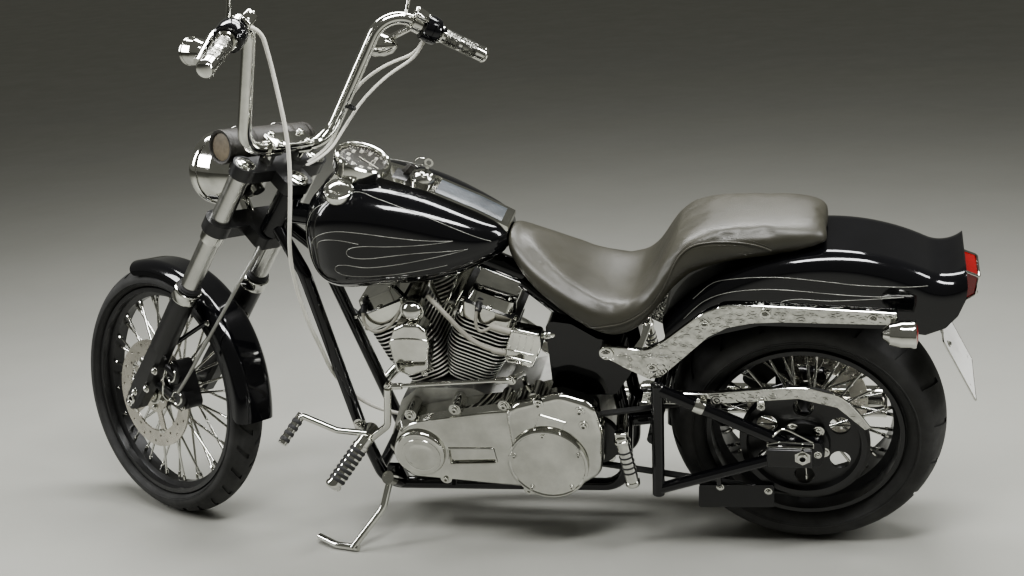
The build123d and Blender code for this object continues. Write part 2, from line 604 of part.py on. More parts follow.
def rear_axle():
    shaft = round_y(0, REAR_RADIUS, -SWINGARM_Y - 16, SWINGARM_Y + 34, REAR_AXLE_RADIUS)
    nut = extrude(Plane(origin=(0, SWINGARM_Y + 14, REAR_RADIUS), z_dir=(0, 1, 0)) * RegularPolygon(20, 6), 16)
    spacers = [round_y(0, REAR_RADIUS, PULLEY_Y + 6, SWINGARM_Y - 12, 22),
               round_y(0, REAR_RADIUS, -SWINGARM_Y + 12, -(REAR_HUB_HALF + DISC_THICK + 1), 22)]
    hole = round_y(0, REAR_RADIUS, SWINGARM_Y, SWINGARM_Y + 60, 7)
    return [joined([shaft, nut] + spacers).cut(hole)]


def engine():
    nodes = {}
    case = side_plate([(720, 215), (1000, 205), (1025, 300), (985, 400), (935, 440), (795, 440), (720, 400)],
                      -CASE_HALF, CASE_HALF, 18)
    gearbox = side_plate([(478, 225), (725, 222), (725, 410), (640, 430), (486, 420)], -CASE_HALF + 12,
                         CASE_HALF - 12, 16)
    cam = round_y(CRANK[0] + 15, CRANK[1] + 10, -CASE_HALF - 40, -CASE_HALF + 5, 105)
    nodes["engine_case"] = [joined([case, gearbox, cam])]
    cylinders, boxes = [], []
    for tilt in (CYLINDER_TILT, -CYLINDER_TILT):
        place = Location((CRANK[0], 0, CRANK[1]), (0, tilt, 0))
        start = 118
        parts = [rod((0, 0, 80), (0, 0, start + FIN_PITCH * FIN_COUNT), BARREL_RADIUS)]
        for k in range(FIN_COUNT):
            grown = min(1, k / 8)
            across, along = 118 + 30 * grown, 120 + 34 * grown
            fin = Plane(origin=(0, 0, start + k * FIN_PITCH)) * RectangleRounded(along, across, 38)
            parts.append(extrude(fin, FIN_THICK))
        cylinders.append(place * joined(parts))
        top = start + FIN_PITCH * FIN_COUNT
        box = extrude(Plane(origin=(0, 0, top)) * RectangleRounded(150, 178, 26), 42)
        lid = extrude(Plane(origin=(0, 0, top + 42)) * RectangleRounded(128, 156, 24), 28, taper=18)
        box = place * joined([box, lid])
        side = 1 if tilt > 0 else -1
        for along, angle in ((side * 24, 30), (-side * 24, 14)):
            foot = (CRANK[0] + 15 + side * 100 * sin(radians(angle)), -112, CRANK[1] + 10 + 100 * cos(radians(angle)))
            head = place * Pos(along, -82, top + 3)
            box = box.fuse(rod(foot, head.position, 7))
        boxes.append(box)
    nodes["cylinders"] = cylinders
    nodes["rocker_boxes"] = boxes

    primary = side_plate([(1020, 290), (985, 372), (900, 398), (735, 430), (600, 440), (480, 400), (470, 270),
                          (590, 182), (742, 190), (975, 205)], CASE_HALF + 1, PRIMARY_Y - 10, 40)
    primary = chamfer(primary.edges().group_by(Axis.Y)[-1], 12)
    house = side_plate([(700, 440), (560, 482), (480, 455), (462, 370), (478, 250), (590, 172), (690, 200)],
                       CASE_HALF + 1, PRIMARY_Y + 8, 52)
    house = fillet(house.edges().group_by(Axis.Y)[-1], 16)
    bulge = round_y(935, 290, CASE_HALF + 1, PRIMARY_Y + 4, 66)
    bulge = fillet(bulge.edges().group_by(Axis.Y)[-1], 10)
    belt_bay = Pos(476, PULLEY_Y - 4, 330) * Box(220, 2 * PULLEY_HALF + 24, 400)
    bosses = [round_y(x, z, CASE_HALF + 1, PRIMARY_Y - 13, 15) for x, z in PRIMARY_BOSSES]
    recess = side_plate([(862, 306), (745, 310), (738, 262), (862, 253)], PRIMARY_Y - 16, PRIMARY_Y + 20, 20)
    nodes["primary_cover"] = [joined([primary - recess, house, bulge] + bosses) - belt_bay]
    cover = round_y(CLUTCH_CENTRE[0], CLUTCH_CENTRE[1], PRIMARY_Y + 8, PRIMARY_Y + 18, CLUTCH_COVER_RADIUS)
    cover = fillet(cover.edges().group_by(Axis.Y)[-1], 5)
    nodes["clutch_cover"] = [cover]

    oil = side_plate([(590, 436), (592, 640), (530, 632), (470, 592), (408, 584), (396, 500), (440, 436)], -100, 100, 20)
    tunnel = side_plate([(500, 400), (500, 700), (380, 700), (380, 400)], -60, 60)
    nodes["oil_tank"] = [oil - tunnel]

    horn = side_plate([(971, 600), (951, 641), (926, 653), (889, 653), (872, 635), (869, 597), (882, 526), (929, 507),
                       (964, 521)], 100, 150, 9)
    horn = fillet(horn.edges().group_by(Axis.Y)[-1], 8)
    dome = rod((904, 95, 680), (904, 130, 680), 26)
    stay = rod((905, 98, 500), (905, 98, 690), 12)
    lug = rod((905, 40, 470), (905, 104, 500), 10)
    coil = side_plate([(664, 641), (596, 626), (596, 590), (624, 532), (690, 549), (682, 591)], 104, 144, 9)
    coil = fillet(coil.edges().group_by(Axis.Y)[-1], 8)
    coil_stay = rod((642, 112, 600), (574, 92, 600), 9)
    nodes["left_side_covers"] = [joined([horn, dome, stay, lug]), joined([coil, coil_stay])]

    cleaner = round_y(850, 590, -192, -128, 92)
    cleaner = fillet(cleaner.edges().group_by(Axis.Y)[0], 18)
    intake = round_y(860, 590, -132, -20, 26)
    nodes["air_cleaner"] = [joined([cleaner, intake])]
    return nodes


def exhausts():
    """Staggered duals on the right: one pipe from each head into its own open muffler."""
    front = tube([(1010, -50, 560), (1044, -122, 478), (992, -160, 310), (860, -192, EXHAUST_LOW),
                  (640, -MUFFLER_Y, EXHAUST_LOW), (380, -MUFFLER_Y, EXHAUST_LOW)], 24, 60)
    rear = tube([(735, -50, 560), (716, -140, 478), (650, -170, 400), (540, -MUFFLER_Y, EXHAUST_HIGH),
                 (280, -MUFFLER_Y, EXHAUST_HIGH)], 24, 60)
    pipes = []
    for pipe, z, x0, x1 in ((front, EXHAUST_LOW, 430, -190), (rear, EXHAUST_HIGH, 330, -150)):
        can = rod((x0, -MUFFLER_Y, z), (x1, -MUFFLER_Y, z), MUFFLER_RADIUS)
        bore = rod((x1 - 5, -MUFFLER_Y, z), (x1 + 120, -MUFFLER_Y, z), MUFFLER_RADIUS - 7)
        pipes.append(joined([pipe, can]).cut(bore))
    return pipes


def fuel_tank():
    """A teardrop shell solid by sections across the machine, with a tunnel for the backbone."""
    # x, half width, bottom z, top z, corner radius
    stations = ((1158, 50, 776, 880, 46), (1148, 94, 746, 922, 66), (1106, 130, 720, 966, 80),
                (1020, 146, 722, 984, 84), (900, 142, 732, 962, 80), (780, 122, 756, 910, 64),
                (700, 84, 788, 868, 36), (672, 50, 806, 850, 20))
    sections = []
    for x, half, low, high, corner in stations:
        plane = Plane(origin=(x, 0, (low + high) / 2), x_dir=(0, 1, 0), z_dir=(1, 0, 0))
        sections.append(plane * RectangleRounded(2 * half, high - low, corner))
    tank = loft(sections)
    gap = BACKBONE_RADIUS + TANK_WALL_GAP
    tunnel = tube([(1255, 0, 886.6), (900, 0, 828), (600, 0, 688.8)], gap, 80)
    slot = Pos(900, 0, 700) * Box(700, 2 * gap, 170)
    return [tank - tunnel - slot]


def tank_trim():
    strip = side_plate([(1092, 975), (1070, 998), (960, 990), (850, 953), (740, 900), (668, 859), (668, 846),
                        (850, 930), (960, 965), (1080, 970)], -44, 44, 3)
    dial_centre = Vector(1015, 0, 1004)
    tilt = Vector(-0.42, 0, 0.91)
    cup = extrude(Plane(origin=dial_centre - tilt * 16, z_dir=tilt) * Circle(66), 34)
    glass_seat = extrude(Plane(origin=dial_centre + tilt * 12, z_dir=tilt) * Circle(58), 8)
    switch = extrude(Plane(origin=(872, 0, 955), z_dir=tilt) * Circle(24), 22)
    console = joined([strip, cup, switch]).cut(glass_seat)
    caps = []
    for side in (1, -1):
        cap = extrude(Plane(origin=(1045, side * 92, 976), z_dir=(-0.1, side * 0.35, 0.93)) * Circle(34), 15)
        caps.append(chamfer(cap.faces().sort_by(Axis.Z)[-1].edges(), 4))
    return [console] + caps


def seat():
    """The two-up saddle: a low bucket, a step up and a pillion pad."""
    # x, half width, bottom z, top z, corner radius
    stations = ((667, 48, 796, 848, 22), (636, 92, 752, 828, 34), (560, 140, 672, 764, 42), (450, 158, 604, 712, 48),
                (360, 150, 640, 728, 40), (290, 132, 720, 800, 36), (220, 122, 766, 858, 34), (80, 116, 792, 868, 28),
                (-30, 104, 798, 866, 20), (-58, 80, 804, 856, 12))
    sections = []
    for x, half, low, high, corner in stations:
        plane = Plane(origin=(x, 0, (low + high) / 2), x_dir=(0, 1, 0), z_dir=(1, 0, 0))
        sections.append(plane * RectangleRounded(2 * half, high - low, corner))
    return [loft(sections)]


def fender_solid(half, drop, corner):
    """The rear fender's outer form, or its inner form when drop is the sheet's thickness."""
    front, tail = (316 - drop, 640), (-349 + drop, 779 - drop)
    crest = ThreePointArc(front, (60, 804 - drop), (-272, 765 - drop))
    flick = TangentArc(crest @ 1, tail, tangent=crest % 1)
    low = 520 if drop else 0
    skirt = [(-352, 744), (-349, 716), (-334, 676), (-309, 645), (-267, 627), (-224, 633), (-171, 642), (92, 646),
             (190, 620), (262, 580), (300 - drop, 585)]
    if drop:
        skirt = [(-326, low), (300 - drop, low)]
    body = extrude(Plane(origin=(0, half, 0), x_dir=(1, 0, 0), z_dir=(0, -1, 0))
                   * make_face(Wire([crest.edge(), flick.edge()]
                                    + Polyline(tail, *skirt, front).edges())), 2 * half)
    crest_edges = [e for e in body.edges() if e.geom_type == GeomType.CIRCLE]
    return fillet(crest_edges, corner)


def rear_fender():
    outer = fender_solid(FENDER_HALF, 0, 46)
    inner = fender_solid(FENDER_HALF - FENDER_SHEET, FENDER_SHEET, 42)
    return [outer - inner]


def fender_struts():
    """The bright rails that carry the rear fender, one each side."""
    top = [(455, 589), (400, 587), (350, 582), (299, 615), (226, 676), (183, 696), (130, 706), (-206, 688)]
    low = [(-206, 657), (48, 661), (111, 657), (164, 645), (208, 620), (288, 542), (323, 509), (350, 503), (400, 530),
           (451, 562)]
    plate = side_plate(top + low, FENDER_HALF, FENDER_HALF + 9, 4)
    foot = round_y(*STRUT_FOOT, FENDER_HALF - 8, FENDER_HALF + 9, 16)
    return both(joined([plate, foot]))


def tail():
    nodes = {}
    parts = []
    for side in (1, -1):
        centre = Vector(-222, side * 200, 675)
        bullet = revolve(make_face(Polyline((0, 0), (30, 4), (30, 30), (24, 52), (12, 66), (0, 70), close=True)), Axis.Y)
        bullet = Location((centre.X - 20, centre.Y, centre.Z)) * Rot(0, 0, -90) * bullet
        arm = round_y(-200, 664, min(side * (FENDER_HALF + 9), side * 180), max(side * (FENDER_HALF + 9), side * 180), 9)
        parts.append(joined([bullet, arm]))
    nodes["rear_signals"] = parts
    lamp = side_plate([(-338, 668), (-372, 690), (-378, 735), (-346, 748)], -48, 48, 6)
    nodes["tail_lamp"] = [lamp]
    plate = extrude(PLATE_PLANE * RectangleRounded(180, 176, 10), 3)
    holes = [extrude(PLATE_PLANE * Pos(x, 60) * Circle(4), 12, both=True) for x in (-60, 60)]
    stay = side_plate([(-348, 724), (-338, 724), (-324, 676), (-288, 612), (-318, 548), (-324, 551), (-300, 612),
                       (-335, 672)], -26, 26, 1)
    nodes["number_plate"] = [plate.cut(*holes), stay]
    return nodes


def belt_parts():
    nodes = {}
    rear, front = Vector(0, 0, REAR_RADIUS), Vector(GEARBOX_SHAFT[0], 0, GEARBOX_SHAFT[1])

    def loop(grow):
        a = Pos(rear.X, rear.Z) * Circle(PULLEY_RADIUS + grow)
        b = Pos(front.X, front.Z) * Circle(GEARBOX_PULLEY_RADIUS + grow)
        return make_hull(a.edges() + b.edges())
    plane = Plane(origin=(0, PULLEY_Y - PULLEY_HALF + 3, 0), x_dir=(1, 0, 0), z_dir=(0, -1, 0))
    belt = extrude(plane * (loop(GRAZE + BELT_THICK) - loop(GRAZE)), -(2 * PULLEY_HALF - 4))
    nodes["drive_belt"] = [belt]
    sprocket = round_y(front.X, front.Z, PULLEY_Y - PULLEY_HALF, PULLEY_Y + PULLEY_HALF, GEARBOX_PULLEY_RADIUS)
    shaft = round_y(front.X + 0, front.Z, CASE_HALF - 30, PULLEY_Y, 18)
    nodes["gearbox_pulley"] = [joined([sprocket, shaft])]
    y0, y1 = GUARD_Y, GUARD_Y + 4
    upper = side_plate([(372, 442), (365, 470), (220, 470), (6, 492), (-90, 468), (-152, 388), (-140, 380),
                        (-78, 440), (10, 462), (220, 440)], y0, y1, 3)
    bend = side_plate([(365, 466), (220, 466), (6, 488), (6, 492), (220, 470), (365, 470)], y1 - 12, y1, 0.5)
    stay = round_y(290, 456, y1, SWINGARM_Y - 4, 7)
    nodes["belt_guards"] = [joined([upper, bend, stay])]
    return nodes


def foot_controls():
    parts = []
    y = 230
    for side in (1, -1):
        arm = rod((1098, side * (RAIL_Y + 4), 330), (1046, side * 190, 362), 14)
        hub_part = rod((1046, side * 170, 366), (1046, side * 214, 366), 19)
        peg = rod((1046, side * 210, 366), (1118, side * 300, 285), 19)
        pieces = [arm, hub_part, peg]
        if side > 0:
            lever = tube([(1046, y - 20, 380), (1110, y, 400), (1192, y, 440), (1200, y + 10, 440)], 8, 20)
            toe = rod((1196, y - 6, 440), (1232, y + 60, 398), 11)
            rocker = tube([(1040, y - 22, 360), (985, y - 20, 405), (968, y - 20, 512)], 9, 30)
            link = rod((968, y - 30, 512), (664, y - 40, 532), 5)
            drop = tube([(664, y - 38, 532), (664, CASE_HALF - 6, 484), (664, CASE_HALF - 24, 416)], 7, 20)
            pieces += [lever, toe, rocker, link, drop]
        else:
            pieces.append(tube([(1046, -y + 20, 380), (1110, -y, 400), (1205, -y, 446)], 8, 20))
            pieces.append(rod((1190, -y, 440), (1232, -y - 40, 440), 14))
        parts.append(joined(pieces))
    for side in (1, -1):
        out, top = (186, 372) if side > 0 else (MUFFLER_Y + 62, 418)
        base = rod((430, side * (REAR_RAIL_Y + 8), top - 8), (418, side * out, top - 8), 15)
        peg = rod((418, side * out, top + 4), (398, side * (out + 8), top - 126), 16)
        parts.append(joined([base, peg]))
    return parts


def rear_caliper():
    disc_y = -(REAR_HUB_HALF + DISC_THICK / 2)
    body = extrude(Plane(origin=(96, disc_y, REAR_RADIUS + 96), x_dir=(0.71, 0, -0.71), z_dir=(0, 1, 0))
                   * RectangleRounded(120, 54, 16), 27, both=True)
    slot = ring([(0, disc_y - DISC_THICK / 2 - 4), (DISC_RADIUS + 5, disc_y - DISC_THICK / 2 - 4),
                 (DISC_RADIUS + 5, disc_y + DISC_THICK / 2 + 4), (0, disc_y + DISC_THICK / 2 + 4)])
    body = body - REAR_AXLE * slot
    bracket = rod((96, disc_y - 22, REAR_RADIUS + 96), (118, -SWINGARM_Y + 2, 384), 10)
    return [joined([body, bracket])]


def side_stand():
    foot_x, foot_y = STAND_FOOT
    axis = stand_axis()
    boss = rod(added(STAND_PIVOT, axis, -13), added(STAND_PIVOT, axis, 13), 17)

    def on_floor(x, y, lift=0):
        return (x, y, floor_height(x, y) + STAND_RADIUS / cos(radians(LEAN)) + lift)
    knee = added(STAND_PIVOT, (16, 44, -62))
    leg = tube([STAND_PIVOT, knee, on_floor(foot_x, foot_y)], STAND_RADIUS, 60)
    pad = tube([on_floor(foot_x - 16, foot_y - 2), on_floor(foot_x + 46, foot_y - 12),
                on_floor(foot_x + 104, foot_y - 44, 5)], STAND_RADIUS, 40)
    return [joined([boss, leg, pad])]


def all_nodes():
    """Every node by name, as solids on the upright machine."""
    nodes = {}
    for name, solids in rear_wheel().items():
        nodes[name] = [REAR_AXLE * s for s in solids]
    at_front_axle = STEERED * Location((FORK_OFFSET, 0, 0))
    for name, solids in front_wheel().items():
        nodes[name] = [at_front_axle * s for s in solids]
    for name, solids in fork().items():
        nodes[name] = [STEERED * s for s in solids]
    nodes["clutch_cable"] = [tube(CLUTCH_CABLE, CLUTCH_CABLE_RADIUS)]
    nodes.update(engine())
    nodes.update(tail())
    nodes.update(belt_parts())
    nodes.update({
        "frame": frame(), "swingarm": swingarm(), "rear_axle": rear_axle(), "exhausts": exhausts(),
        "fuel_tank": fuel_tank(), "tank_trim": tank_trim(), "seat": seat(), "rear_fender": rear_fender(),
        "fender_struts": fender_struts(), "foot_controls": foot_controls(), "rear_caliper": rear_caliper(),
        "side_stand": side_stand(),
    })
    for name, carriers in SEATED.items():
        tools = [t for carrier in carriers for t in nodes[carrier]]
        nodes[name] = [kept(solid, tools) for solid in nodes[name]]
    return nodes


def kept(solid, tools):
    """What is left of a solid that seats against others: its largest piece."""
    near = [t for t in tools if boxes_meet(solid, t)]
    if near:
        solid = solid.cut(*near)
    return solid.solids().sort_by(SortBy.VOLUME)[-1]


def boxes_meet(a, b):
    p, q = a.bounding_box(), b.bounding_box()
    return all(lo <= hi for lo, hi in ((p.min.X, q.max.X), (q.min.X, p.max.X), (p.min.Y, q.max.Y),
                                       (q.min.Y, p.max.Y), (p.min.Z, q.max.Z), (q.min.Z, p.max.Z)))


# Pieces cut to seat on the pieces that carry them
SEATED = {
    "cylinders": ["engine_case"],
    "rocker_boxes": ["cylinders", "engine_case"],
    "frame": ["engine_case"],
    "exhausts": ["cylinders"],
    "air_cleaner": ["cylinders", "rocker_boxes"],
    "left_side_covers": ["cylinders", "rocker_boxes", "oil_tank"],
    "primary_cover": ["engine_case"],
    "clutch_cover": ["primary_cover"],
    "gearbox_pulley": ["engine_case"],
    "oil_tank": ["frame", "seat", "primary_cover"],
    "fuel_tank": ["frame"],
    "tank_trim": ["fuel_tank"],
    "seat": ["fuel_tank", "rear_fender", "frame"],
    "tail_lamp": ["rear_fender"],
    "number_plate": ["rear_fender"],
    "fender_struts": ["frame", "rear_fender"],
    "foot_controls": ["frame", "engine_case"],
    "swingarm": ["frame"],
    "rear_axle": ["swingarm"],
    "belt_guards": ["swingarm"],
    "rear_caliper": ["swingarm"],
    "headlamp": ["triple_trees"],
    "handlebar": ["triple_trees"],
    "switch_housings": ["handlebar"],
    "mirrors": ["levers", "handlebar"],
    "front_signals": ["handlebar", "levers"],
    "front_fender": ["fork_sliders"],
    "front_caliper": ["fork_sliders"],
    "brake_hose": ["front_caliper", "triple_trees", "fork_sliders"],
    "throttle_cables": ["switch_housings", "triple_trees"],
    "clutch_cable": ["levers", "handlebar", "engine_case"],
}


def parked_nodes():
    """Every node as it stands parked, with the origin under the middle of its own box."""
    nodes = {name: [PARKED * s for s in solids] for name, solids in all_nodes().items()}
    box = Compound([s for solids in nodes.values() for s in solids]).bounding_box()
    shift = Location((-(box.min.X + box.max.X) / 2, -(box.min.Y + box.max.Y) / 2, 0))
    return {name: [shift * s for s in solids] for name, solids in nodes.items()}, shift


def main():
    os.makedirs("parts", exist_ok=True)
    nodes, shift = parked_nodes()
    for name, solids in nodes.items():
        flat = [s for shape in solids for s in shape.solids()]
        export_step(Compound(flat), f"parts/{name}.step")
        print(name, len(flat), round(sum(s.volume for s in flat) / 1000), "cc")


if __name__ == "__main__":
    main()
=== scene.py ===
"""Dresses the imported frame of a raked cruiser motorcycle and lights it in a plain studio."""

import json
import math

import bmesh
import bpy
from mathutils import Matrix, Vector
from mathutils.bvhtree import BVHTree


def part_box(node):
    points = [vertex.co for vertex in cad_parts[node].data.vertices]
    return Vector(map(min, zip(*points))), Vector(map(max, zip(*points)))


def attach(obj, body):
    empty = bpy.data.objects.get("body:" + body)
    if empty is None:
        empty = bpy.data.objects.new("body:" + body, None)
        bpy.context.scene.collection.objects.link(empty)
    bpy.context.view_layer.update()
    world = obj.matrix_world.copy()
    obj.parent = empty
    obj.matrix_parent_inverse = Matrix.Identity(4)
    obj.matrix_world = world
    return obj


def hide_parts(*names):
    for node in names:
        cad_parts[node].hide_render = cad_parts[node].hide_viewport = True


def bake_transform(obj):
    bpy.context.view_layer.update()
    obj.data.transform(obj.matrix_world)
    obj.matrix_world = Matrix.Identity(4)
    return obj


bl_info = {
    "name": "Raked Cruiser",
    "version": (1, 0, 0),
    "blender": (4, 5, 0),
    "location": "View3D > Sidebar > Cruiser",
    "description": "Builds the looks of a raked cruiser motorcycle around its packed frame",
    "category": "Object",
}

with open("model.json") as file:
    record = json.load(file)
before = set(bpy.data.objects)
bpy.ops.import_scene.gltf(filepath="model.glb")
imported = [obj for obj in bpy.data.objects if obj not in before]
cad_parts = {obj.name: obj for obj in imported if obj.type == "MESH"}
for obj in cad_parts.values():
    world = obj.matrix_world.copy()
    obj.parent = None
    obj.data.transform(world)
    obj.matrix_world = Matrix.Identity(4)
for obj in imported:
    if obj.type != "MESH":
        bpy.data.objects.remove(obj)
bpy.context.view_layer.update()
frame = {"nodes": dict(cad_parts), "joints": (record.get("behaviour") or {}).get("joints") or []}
NODES = frame["nodes"]
JOINTS = {j["name"]: j for j in frame["joints"]}
MM = 0.001

# The upright machine's axes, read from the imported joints: X forward from the rear axle, Y to the
# rider's left, Z up. The fork's axes: X square to the steering axis, Y left, Z up along it.
RAKE = math.radians(34)
REAR_RADIUS = 0.326
FORK_OFFSET = 0.070


def axes(x, y, z, at):
    """A matrix from three axes and an origin."""
    return Matrix((
        (x[0], y[0], z[0], at[0]), (x[1], y[1], z[1], at[1]), (x[2], y[2], z[2], at[2]), (0, 0, 0, 1)))


LEFT = Vector(JOINTS["rear_wheel_spin"]["axis"])
STEER_UP = Vector(JOINTS["steering"]["axis"])
AHEAD = LEFT.cross(STEER_UP)
NOSE = AHEAD * math.cos(RAKE) - STEER_UP * math.sin(RAKE)
UP = AHEAD * math.sin(RAKE) + STEER_UP * math.cos(RAKE)
REAR_CENTRE = Vector(JOINTS["rear_wheel_spin"]["pos_m"])
FRONT_CENTRE = Vector(JOINTS["front_wheel_spin"]["pos_m"])
FORK_LEFT = Vector(JOINTS["front_wheel_spin"]["axis"])
FORK_AHEAD = FORK_LEFT.cross(STEER_UP)
REAR_HUB = axes(NOSE, LEFT, UP, REAR_CENTRE)
MACHINE = axes(NOSE, LEFT, UP, REAR_CENTRE - UP * REAR_RADIUS)
FRONT_HUB = axes(FORK_AHEAD, FORK_LEFT, STEER_UP, FRONT_CENTRE)
FORK = axes(FORK_AHEAD, FORK_LEFT, STEER_UP, FRONT_CENTRE - FORK_AHEAD * FORK_OFFSET)
HOMES = {"chassis": MACHINE, "fork": FORK, "front_wheel": FRONT_HUB, "rear_wheel": REAR_HUB}


# ---------------------------------------------------------------- settings

class CruiserSizes(bpy.types.PropertyGroup):
    """Sizes of the added pieces."""
    lens: bpy.props.FloatProperty(name="Lens", description="Focal length of the stage camera in millimetres",
        default=50.3, min=10)
    groove: bpy.props.FloatProperty(name="Tread groove", description="Depth of the tyres' tread grooves",
        default=0.004, unit="LENGTH")
    voxel: bpy.props.FloatProperty(name="Cloth grain", description="Edge length of the saddle's simulated cover",
        default=0.0055, unit="LENGTH")
    plump: bpy.props.FloatProperty(name="Plumpness", description="Furthest that the cover may swell", default=0.006,
        unit="LENGTH")


class CruiserColours(bpy.types.PropertyGroup):
    """Colours of the finishes."""
    paint: bpy.props.FloatVectorProperty(name="Paint", description="Colour of the gloss paint", subtype="COLOR",
        default=(0.004, 0.004, 0.005), min=0, max=1)
    leather: bpy.props.FloatVectorProperty(name="Saddle leather", description="Colour of the saddle's cover",
        subtype="COLOR", default=(0.040, 0.038, 0.028), min=0, max=1)
    floor: bpy.props.FloatVectorProperty(name="Floor", description="Colour of the studio floor", subtype="COLOR",
        default=(0.30, 0.30, 0.275), min=0, max=1)


def sizes():
    return bpy.context.scene.cruiser_sizes


def colours():
    return bpy.context.scene.cruiser_colours


# ---------------------------------------------------------------- finishes

SCROLL_TURNS = 22.0
FINISHES = {}


def node(tree, kind, **inputs):
    made = tree.nodes.new(kind)
    for key, value in inputs.items():
        made.inputs[key.replace("_", " ")].default_value = value
    return made


def maths(tree, operation, a, b=0.0):
    """A Math node on a socket and a number or a second socket; gives its result."""
    made = node(tree, "ShaderNodeMath")
    made.operation = operation
    tree.links.new(a, made.inputs[0])
    if isinstance(b, float):
        made.inputs[1].default_value = b
    else:
        tree.links.new(b, made.inputs[1])
    return made.outputs[0]


def remapped(tree, value, start, end, low=0.0, high=1.0):
    """A value spread from one range to another, held at the ends."""
    made = node(tree, "ShaderNodeMapRange", From_Min=start, From_Max=end, To_Min=low, To_Max=high)
    tree.links.new(value, made.inputs["Value"])
    return made.outputs["Result"]


def finish(name, colour, rough=(0.3, 0.4), metal=0.0, tone=(0.8, 1.2), patch=12.0, grain=0.0, grain_scale=600.0,
           grain_kind="noise", depth=0.0004, stretch=(1, 1, 1), coat=0.0, coat_rough=0.03, **sockets):
    """A finish with patches of tone, uneven roughness and a fine grain, all read from Object coordinates."""
    material = bpy.data.materials.new(name)
    material.use_nodes = True
    tree = material.node_tree
    shader = tree.nodes["Principled BSDF"]
    link = tree.links.new
    place = node(tree, "ShaderNodeTexCoord")
    scaled = node(tree, "ShaderNodeMapping")
    scaled.inputs["Scale"].default_value = stretch
    link(place.outputs["Object"], scaled.inputs["Vector"])

    clouds = node(tree, "ShaderNodeTexNoise", Scale=patch, Detail=6.0, Roughness=0.62)
    link(scaled.outputs[0], clouds.inputs["Vector"])
    ramp = node(tree, "ShaderNodeValToRGB")
    ramp.color_ramp.elements[0].position, ramp.color_ramp.elements[1].position = 0.3, 0.7
    for stop, k in zip(ramp.color_ramp.elements, tone):
        stop.color = (*[min(1, c * k) for c in colour], 1)
    link(clouds.outputs["Fac"], ramp.inputs["Fac"])
    link(ramp.outputs["Color"], shader.inputs["Base Color"])

    smears = node(tree, "ShaderNodeTexNoise", Scale=patch * 2.3, Detail=8.0, Roughness=0.7)
    link(scaled.outputs[0], smears.inputs["Vector"])
    link(remapped(tree, smears.outputs["Fac"], 0.3, 0.7, *rough), shader.inputs["Roughness"])

    if grain:
        if grain_kind == "cells":
            texture, out = node(tree, "ShaderNodeTexVoronoi", Scale=grain_scale), "Distance"
            texture.feature = "SMOOTH_F1"
        elif grain_kind == "scrolls":
            texture, out = node(tree, "ShaderNodeTexVoronoi", Scale=grain_scale), "Distance"
        elif grain_kind == "brushed":
            texture, out = node(tree, "ShaderNodeTexWave", Scale=grain_scale, Distortion=2.0, Detail=2.0), "Fac"
        else:
            texture, out = node(tree, "ShaderNodeTexNoise", Scale=grain_scale, Detail=4.0), "Fac"
        link(scaled.outputs[0], texture.inputs["Vector"])
        bump = node(tree, "ShaderNodeBump", Strength=grain, Distance=depth)
        height = texture.outputs[out]
        if grain_kind == "scrolls":
            height = maths(tree, "SINE", maths(tree, "MULTIPLY", height, SCROLL_TURNS))
        link(height, bump.inputs["Height"])
        link(bump.outputs["Normal"], shader.inputs["Normal"])

    shader.inputs["Metallic"].default_value = metal
    shader.inputs["Coat Weight"].default_value = coat
    shader.inputs["Coat Roughness"].default_value = coat_rough
    for key, value in sockets.items():
        shader.inputs[key.replace("_", " ")].default_value = value
    FINISHES[name] = material
    return material


